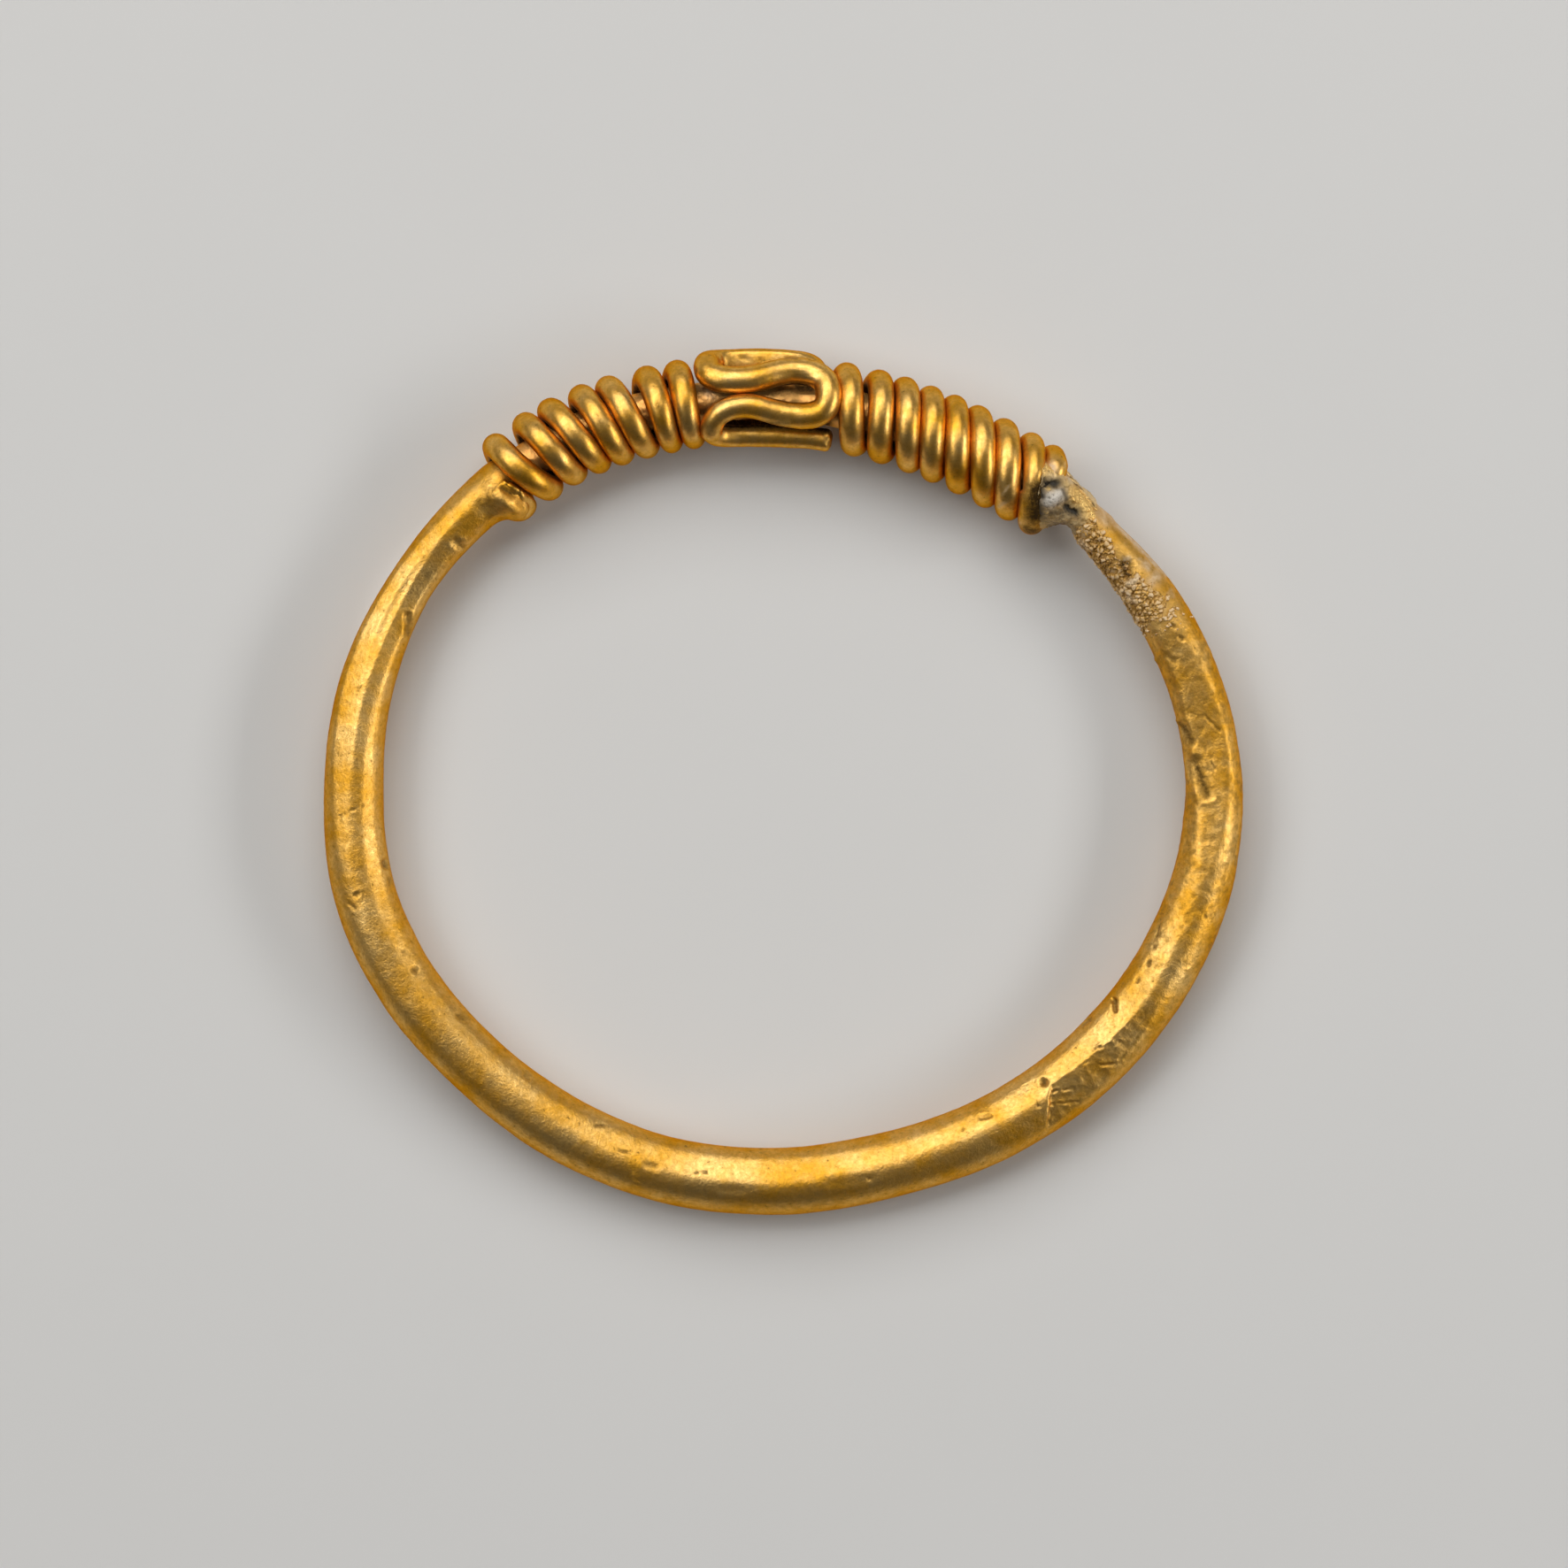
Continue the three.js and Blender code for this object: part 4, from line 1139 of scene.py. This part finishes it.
@dataclass
class Cage:
    """The wire bent to and fro along the core, between the windings."""

    hoop: Hoop  # the rod that carries it
    wire_diameter: float = 0.65
    core_gap: float = 0.099  # between the wire and the core
    middle_row: float = 452.5  # row of pixels over the core
    # Points of the wire, each with its column of pixels and its degrees round the core, from the cut
    # end on the inner edge to the hidden end at the back
    route: tuple[tuple[float, float], ...] = (
        ((941, 166), (915, 168), (885, 170), (855, 170), (830, 166))
        + ((813, 157), (805, 144), (805, 129), (811, 115), (824, 106))
        + ((840, 103), (856, 105), (873, 111), (890, 115), (906, 115), (920, 111))
        + ((931, 101), (936.5, 88), (937, 72), (933, 57), (924, 47), (911, 42))
        + ((896, 42), (880, 48), (864, 56), (848, 62), (831, 63), (815, 59))
        + ((803, 48), (799.5, 33), (800, 16), (808, 1), (822, -7))
        + ((840, -8), (860, -8), (880, -8), (897, -10))
        + ((910, -16), (918, -26), (920, -38), (917, -50), (908, -60), (892, -66))
        + ((874, -66), (858, -66), (843, -68), (828, -74), (818, -84), (815, -95))
        + ((818, -107), (828, -118), (844, -124), (866, -124), (890, -124), (915, -124))
    )
    width_shares: Shares = (0.84, 0.86, 0.98, 1, 1, 0.98, 1, 1)  # how its thickness varies along it
    lift_shares: Shares = (0.96, 1.04, 1, 1, 1, 1, 1, 1)  # how its distance from the core varies
    # Of its half thickness, how high the outermost and innermost strands stand
    worn_shares: tuple[float, float] = (0.62, 1.0)
    wear: float = 0.8  # how much of what stands higher is worn off
    uneven: float = 0.03  # how much its thickness strays
    uneven_length: float = 1.1  # over which it strays
    dents: Waves = ((0.012, 0.6, 1), (0.004, 0.2, 2))
    reach: float = 1.6995  # half of its length along the core
    place: float = -0.4  # of its middle along the core
    steps: int = 520  # points along it
    sides: int = 36  # points round it

    def build(self, placing: Placing) -> Skin:
        """Makes the wire's skin, worn flat on its outermost and innermost strands.

        Args:
            placing: how the ring lies under the photograph.

        Returns:
            The skin.
        """
        line = self.hoop.line
        radius = self.hoop.core_diameter / 2 + self.core_gap + self.wire_diameter / 2
        controls = []
        for column, degrees in self.route:
            angle = math.radians(degrees)
            row = self.middle_row - radius * math.cos(angle) / placing.photograph.pixel
            place = line.nearest(placing.spot((column, row)))
            if place > line.length / 2:
                place -= line.length
            controls.append((place, angle * radius))
        flat = curve_through(np.array(controls), self.steps, closed=False)
        angles = flat[:, 1] / radius
        share = np.linspace(0, 1, self.steps)
        frames = line.frames(flat[:, 0])
        at = frames.around(angles, radius * share_at(self.lift_shares, share))
        strayed = noise(np.pad(flat, ((0, 0), (0, 1))), self.uneven_length, SEED + 20)
        thickness = share_at(self.width_shares, share) * (1 + self.uneven * strayed)
        half = self.wire_diameter / 2 * thickness
        route = Route(at, unit(at - frames.point), half, half)
        route.round_ends()
        skin = route.skin(self.sides)
        heights = skin.points[..., 2] - at[:, None, 2]
        worn = smooth_step(np.abs(np.cos(angles)), 0.9, 0.97)[:, None]
        worn_height = np.where(np.cos(angles) > 0, *self.worn_shares)[:, None] * half[:, None]
        skin.points[..., 2] -= self.wear * worn * np.maximum(heights - worn_height, 0)
        skin.push(relief(skin.points, self.dents, SEED + 21))
        return route.dress(skin, CAGE_MARKS, placing)


@dataclass
class Solder:
    """The grey lump that closes the hoop at the right shoulder."""

    hoop: Hoop  # the rod that it sits on
    winding: Winding  # the winding whose last turn it holds
    reach: float = 0.95  # from the place of the last turn to its end
    set_back_share: float = 0.3  # of the wire, from the middle of the turn that it lies against
    # Heights above the rod from the last turn outwards, on the ring's outer side, on top, on the
    # ring's inner side and underneath
    outer_heights: Shares = (0.18, 0.14, 0.125, 0.11, 0.08, -0.03)
    top_heights: Shares = (0.62, 0.58, 0.42, 0.26, 0.1, -0.03)
    inner_heights: Shares = (0.42, 0.28, 0.1, 0.03, 0.02, -0.03)
    under_heights: Shares = (0.4, 0.3, 0.2, 0.1, 0.05, -0.03)
    sunk: float = 0.1  # how deep its inside lies in the rod
    lumps: Waves = ((0.025, 0.4, 2), (0.024, 0.1, 3))
    rings: int = 110  # points along it
    sides: int = 240  # points round it

    def build(self, placing: Placing) -> Skin:
        """Makes the lump's skin: its outside from the last turn outwards, and its inside back.

        Args:
            placing: how the ring lies under the photograph.

        Returns:
            The skin.
        """
        turns = self.winding.last_turn - 1 + (np.arange(self.sides) + 1 / 2) / self.sides
        places, angles = self.winding.turn_at(turns)
        starts = places + self.winding.wire_diameter * self.set_back_share
        share = np.linspace(0, 1, self.rings)[:, None]
        along = blend(starts, self.winding.last_place + self.reach, share)
        level, upright = np.cos(angles), np.sin(angles)
        ways = (level, upright, -level, -upright)
        tables = (self.outer_heights, self.top_heights, self.inner_heights, self.under_heights)
        lift = sum(np.maximum(way, 0) ** 2 * share_at(table, share) for way, table in zip(ways, tables))
        seat = self.hoop.seat(along, np.broadcast_to(angles, along.shape))
        radii = np.concatenate([seat + lift, (seat - self.sunk)[::-1]])
        along = np.concatenate([along, along[::-1]])
        frames = self.hoop.line.frames(along)
        skin = Skin(frames.around(np.broadcast_to(angles, along.shape), radii), closed=True)
        outside = (np.arange(len(along)) < self.rings)[:, None]
        heights = relief(skin.points, self.lumps, SEED + 30) * outside
        skin.push(heights)
        skin.layers = {Layer.DIRT: 0.6 * smooth_step(-heights, 0.01, 0.05)}
        press_marks(skin, SOLDER_MARKS, placing, frames.lift * outside[..., None])
        return skin


@dataclass
class Crust:
    """Flaky mineral crust on the right shoulder, a skin that dips into the rod where it ends."""

    hoop: Hoop  # the rod that it grows on
    start: float = 7.72  # where it begins along the hoop
    end: float = 11.5  # where it ends
    # Of a turn, where it ends on top, in even steps from its start to its end
    rim_shares: Shares = (0.2, 0.21, 0.235, 0.26, 0.265, 0.2, 0.17, 0.17, 0.2)
    flake: float = 0.12  # size of a common flake
    thickness: float = 0.055  # of its thickest flakes
    edge_stray: float = 0.03  # how far the flakes' edges stray
    edge_length: float = 0.12  # over which they stray
    margins: tuple[float, float] = (0.15, 0.1)  # how far its skin goes on beyond its start and its end
    grit: Waves = ((0.006, 0.05, 2),)
    sunk: float = 0.06  # how deep its skin lies in the rod where there is none
    rings: int = 230  # points along it
    sides: int = 190  # points round it

    def coverage(self, places: Array, angles: Array) -> Array:
        """Returns how thickly the flakes lie at places along the hoop and angles round it."""
        turn = np.mod(angles / FULL_TURN + 0.1, 1) - 0.1
        run = (places - self.start) / (self.end - self.start)
        rising = smooth_step(turn - share_at(self.rim_shares, run), -0.08, 0.08)
        return stretch(run, (-0.02, 0.05, 0.7, 1.0)) * rising * (1 - smooth_step(turn, 0.62, 0.75))

    def build(self, placing: Placing) -> Skin:
        """Makes the crust's skin, with its flakes, its grit and its marks.

        Args:
            placing: how the ring lies under the photograph.

        Returns:
            The skin.
        """
        run = np.linspace(self.start - self.margins[0], self.end + self.margins[1], self.rings)
        turned = FULL_TURN * np.arange(self.sides) / self.sides
        places, angles = np.meshgrid(run, turned, indexing="ij")
        seat = self.hoop.seat(places, angles)
        frames = self.hoop.line.frames(places)
        points = frames.around(angles, seat)
        points = points + self.edge_stray * stray(points, self.edge_length, SEED + 40, axes=3)
        inside, value, slope = flakes(points, self.flake, SEED + 50)
        small, fleck, _ = flakes(points, self.flake / 2, SEED + 60)
        wanted = 1.6 * self.coverage(places, angles) - 1 + 0.6 * value + 0.35 * fleck
        present = smooth_step(wanted + 0.3 * noise(points, 0.5, SEED + 80), -0.15, 0.1)
        face = smooth_step(inside, 0.02, 0.35)
        rise = face * (0.4 + 0.4 * value + 0.25 * slope) + 0.35 * smooth_step(small, 0, 0.3)
        grown = self.thickness * rise + relief(points, self.grit, SEED + 70)
        skin = Skin(frames.around(angles, seat + blend(-self.sunk, grown, present)))
        skin.layers = {
            Layer.PALE: face * np.clip(0.35 + 0.45 * value + 0.35 * fleck, 0, 1),
            Layer.DIRT: (1 - smooth_step(rise, 0.1, 0.55)) * 0.95,
        }
        press_marks(skin, CRUST_MARKS, placing, frames.lift * present[..., None])
        return skin


# Scene


def add_object(name: str, data: bpy.types.ID) -> bpy.types.Object:
    """Puts a mesh, lamp or camera in the scene as an object of that name, and returns it."""
    thing = bpy.data.objects.new(name, data)
    bpy.context.scene.collection.objects.link(thing)
    return thing


def add_piece(name: str, mesh: Mesh, material: Material, is_solid: bool) -> None:
    """Puts a mesh in the scene as a piece of the ring.

    Args:
        name: name of the piece, or of the CAD node that it replaces.
        mesh: its mesh.
        material: its finish.
        is_solid: whether it replaces a CAD node.
    """
    mesh.materials.append(material)
    piece = add_object(f"{name}_dressed" if is_solid else name, mesh)
    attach(piece, "root")
    if is_solid:
        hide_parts(name)
    log.info("%s: %d points, %d faces", piece.name, len(mesh.vertices), len(mesh.polygons))


@dataclass(frozen=True)
class Softbox:
    """A soft lamp that looks at the ring."""

    name: str
    turn: float  # where it stands, in degrees from the ring's right side towards its front
    height: float  # degrees above the floor
    distance: float  # from the ring, in metres
    size: tuple[float, float]  # its width and height in metres
    glow: float  # how bright its face is, where 1 is white

    def build(self) -> None:
        """Adds the lamp."""
        lamp = bpy.data.lights.new(self.name, "AREA")
        lamp.shape = "RECTANGLE"
        lamp.size, lamp.size_y = self.size
        lamp.energy = self.glow * math.pi * self.size[0] * self.size[1]
        turn, height = math.radians(self.turn), math.radians(self.height)
        level = math.cos(height)
        way = Vector((math.cos(turn) * level, math.sin(turn) * level, math.sin(height)))
        holder = add_object(self.name, lamp)
        holder.location = way * self.distance
        holder.rotation_euler = (-way).to_track_quat("-Z", "Y").to_euler()
        log.info("%s: glow %.1f", self.name, self.glow)


@dataclass
class Studio:
    """Floor, lamps, world and camera."""

    photograph: Photograph  # its framing is the camera's
    camera_distance: float = 0.16  # over the floor, in metres
    clip_start: float = 0.01  # from the camera to where its view begins, in metres
    sensor: float = 36.0  # width of the camera's sensor in millimetres
    ring_height: float = 1.1  # height of the ring's middle over the floor
    world_glow: float = 0.06  # brightness of the surroundings
    world_colour: Colour = (1.0, 0.98, 0.95)
    floor_size: float = 2.0  # in metres
    lamps: tuple[Softbox, ...] = (
        Softbox("key_lamp", 104, 50, 0.3, (0.38, 0.25), 2.4),
        Softbox("right_lamp", -4, 29, 0.25, (0.2, 0.05), 8.0),
        Softbox("left_lamp", 170, 48, 0.3, (0.16, 0.12), 3.2),
    )

    def build(self) -> None:
        """Adds everything that isn't part of the ring."""
        self._floor()
        self._world()
        self._camera()
        for lamp in self.lamps:
            lamp.build()

    def _floor(self) -> None:
        """Adds the pale floor that the ring lies on."""
        half = self.floor_size / METRES / 2
        corners = np.array([(-half, -half, 0), (half, -half, 0), (half, half, 0), (-half, half, 0)])
        mesh = make_mesh("floor", corners, [np.array([[0, 1, 2, 3]])])
        mesh.materials.append(PaleFloor("pale_floor").build())
        add_object("floor", mesh)

    def _world(self) -> None:
        """Adds the grey surroundings."""
        world = bpy.data.worlds.new("studio")
        world.use_nodes = True
        background = world.node_tree.nodes["Background"]
        background.inputs["Color"].default_value = (*self.world_colour, 1.0)
        background.inputs["Strength"].default_value = self.world_glow
        bpy.context.scene.world = world

    def _camera(self) -> None:
        """Adds the camera, which looks straight down as the photograph does."""
        photo = self.photograph
        camera = bpy.data.cameras.new("camera")
        camera.sensor_width = self.sensor
        above = self.camera_distance - self.ring_height * METRES
        camera.lens = self.sensor * above / (photo.width * photo.pixel * METRES)
        camera.clip_start = self.clip_start
        holder = add_object("camera", camera)
        middle = photo.spot((photo.width / 2, photo.width / 2)) * METRES
        holder.location = (*middle, self.camera_distance)
        bpy.context.scene.camera = holder


# The ring


@dataclass
class Ring:
    """The whole ring: hoop, two windings, cage, solder and crust."""

    photograph: Photograph  # its marks are placed by the photograph's pixels
    wire_diameter: float = 0.56  # of the windings' wire, which the places along the core count with
    left_gap: float = 0.03  # between the left winding and the cage
    right_gap: float = 0.07  # between the cage and the right winding
    left_turn_gap: float = 0.12  # between the turns of the left winding
    right_turn_gap: float = 0.11  # between the turns of the right winding
    # How far apart the turns are, from each to the next
    left_spacing_shares: Shares = (1.11, 0.99, 1.02, 1, 0.98, 1.1, 0.98)
    right_spacing_shares: Shares = (1.06, 1, 0.97, 0.98, 0.99, 1, 1.08, 0.97)
    seam_reach: float = 0.45  # from the last turn to the seam
    crust_stain: float = 0.6  # how strongly the crust stains the hoop

    def __post_init__(self) -> None:
        """Builds the sub-assemblies' sizes from each other."""
        self.hoop = Hoop(RingLine())
        self.cage = Cage(self.hoop)
        wire = self.wire_diameter
        left_pitch, right_pitch = wire + self.left_turn_gap, wire + self.right_turn_gap
        left_last = self.cage.place - self.cage.reach - self.left_gap - wire / 2
        left_first = left_last - left_pitch * sum(self.left_spacing_shares)
        right_first = self.cage.place + self.cage.reach + self.right_gap + wire / 2
        self.left = Winding(
            self.hoop, LEFT_WIRE_MARKS, left_first, left_pitch, self.left_spacing_shares,
            first_turn=-0.01, last_turn=7.42, lean_angles=(2.9, -8.7), seed=SEED + 10, tail_turns=0.36,
            top_nudges=(0.0, -0.09, 0.0, 0.0, 0.0, 0.0, 0.0, 0.0),
            outer_nudges=(0.1, -0.02, 0.06, -0.04, -0.02, -0.09, 0.05, 0.03, 0.0),
            inner_nudges=(-0.16, 0.04, 0.16, 0.23, 0.23, 0.22, 0.16, 0.1, 0.0),
        )
        self.right = Winding(
            self.hoop, RIGHT_WIRE_MARKS, right_first, right_pitch, self.right_spacing_shares,
            first_turn=-0.4, last_turn=7.86, lean_angles=(8.7, 20.9), seed=SEED + 15, end_run=0.6 * wire,
            outer_nudges=(0.01, 0.06, 0.02, -0.02, -0.08, -0.13, -0.1, -0.1, -0.18),
            inner_nudges=(-0.07, -0.08, -0.01, -0.03, 0.01, 0.05, 0.0, -0.04, 0.1),
        )
        self.hoop.seam_place = self.right.last_place + self.seam_reach
        self.hoop.shoulder_place = left_first - self.hoop.taper_length / 2
        self.solder = Solder(self.hoop, self.right)
        self.crust = Crust(self.hoop)

    def shift(self) -> Array:
        """Returns how far the pieces move so that the hoop lies where its CAD node does."""
        places = np.linspace(0, self.hoop.line.length, 2000)
        edge = self.hoop.line.frames(places).around(np.zeros(len(places)), self.hoop.radius(places))
        low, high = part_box("hoop")
        cad_middle = np.array((low + high) / 2) / METRES
        return (cad_middle - (edge.min(axis=0) + edge.max(axis=0)) / 2) * (1, 1, 0)

    def build(self) -> None:
        """Builds and dresses every piece."""
        placing = Placing(self.photograph, self.shift())
        log.info("shift %.4f, %.4f mm", *placing.shift[:2])
        forged = OldGold("forged_gold").build()
        smoother = {"grain_depth": 0.005, "scratch_depth": 0.0004, "dent_depth": 0.004}
        drawn = OldGold("wire_gold", smoothest=0.3, roughest=0.4, **smoother).build()
        pieces = (
            ("hoop", self.hoop, forged, Slot.HOOP),
            ("left_winding", self.left, drawn, Slot.WIRE),
            ("right_winding", self.right, drawn, Slot.WIRE),
            ("bezel_cage", self.cage, drawn, Slot.WIRE),
            ("shoulder_solder", self.solder, DullSolder("dull_solder").build(), Slot.SOLDER),
            ("mineral_crust", self.crust, MineralCrust("mineral_crust").build(), Slot.SOLDER),
        )
        for name, sub_assembly, material, slot in pieces:
            skin = sub_assembly.build(placing)
            if sub_assembly is self.hoop:
                skin.layers[Layer.CRUST] = self.crust_stain * self.crust.coverage(*self.hoop.grid())
            skin.points[..., 2] = np.maximum(skin.points[..., 2], 0)
            mesh = skin.mesh(name, placing.shift)
            add_piece(name, mesh, material, sub_assembly is not self.crust)


def main() -> None:
    """Builds the studio and the ring."""
    logging.basicConfig(level=logging.INFO, format="%(name)s: %(message)s")
    bpy.context.scene.view_settings.view_transform = "Standard"
    photograph = Photograph()
    Studio(photograph).build()
    Ring(photograph).build()


if __name__ == "__main__":
    main()
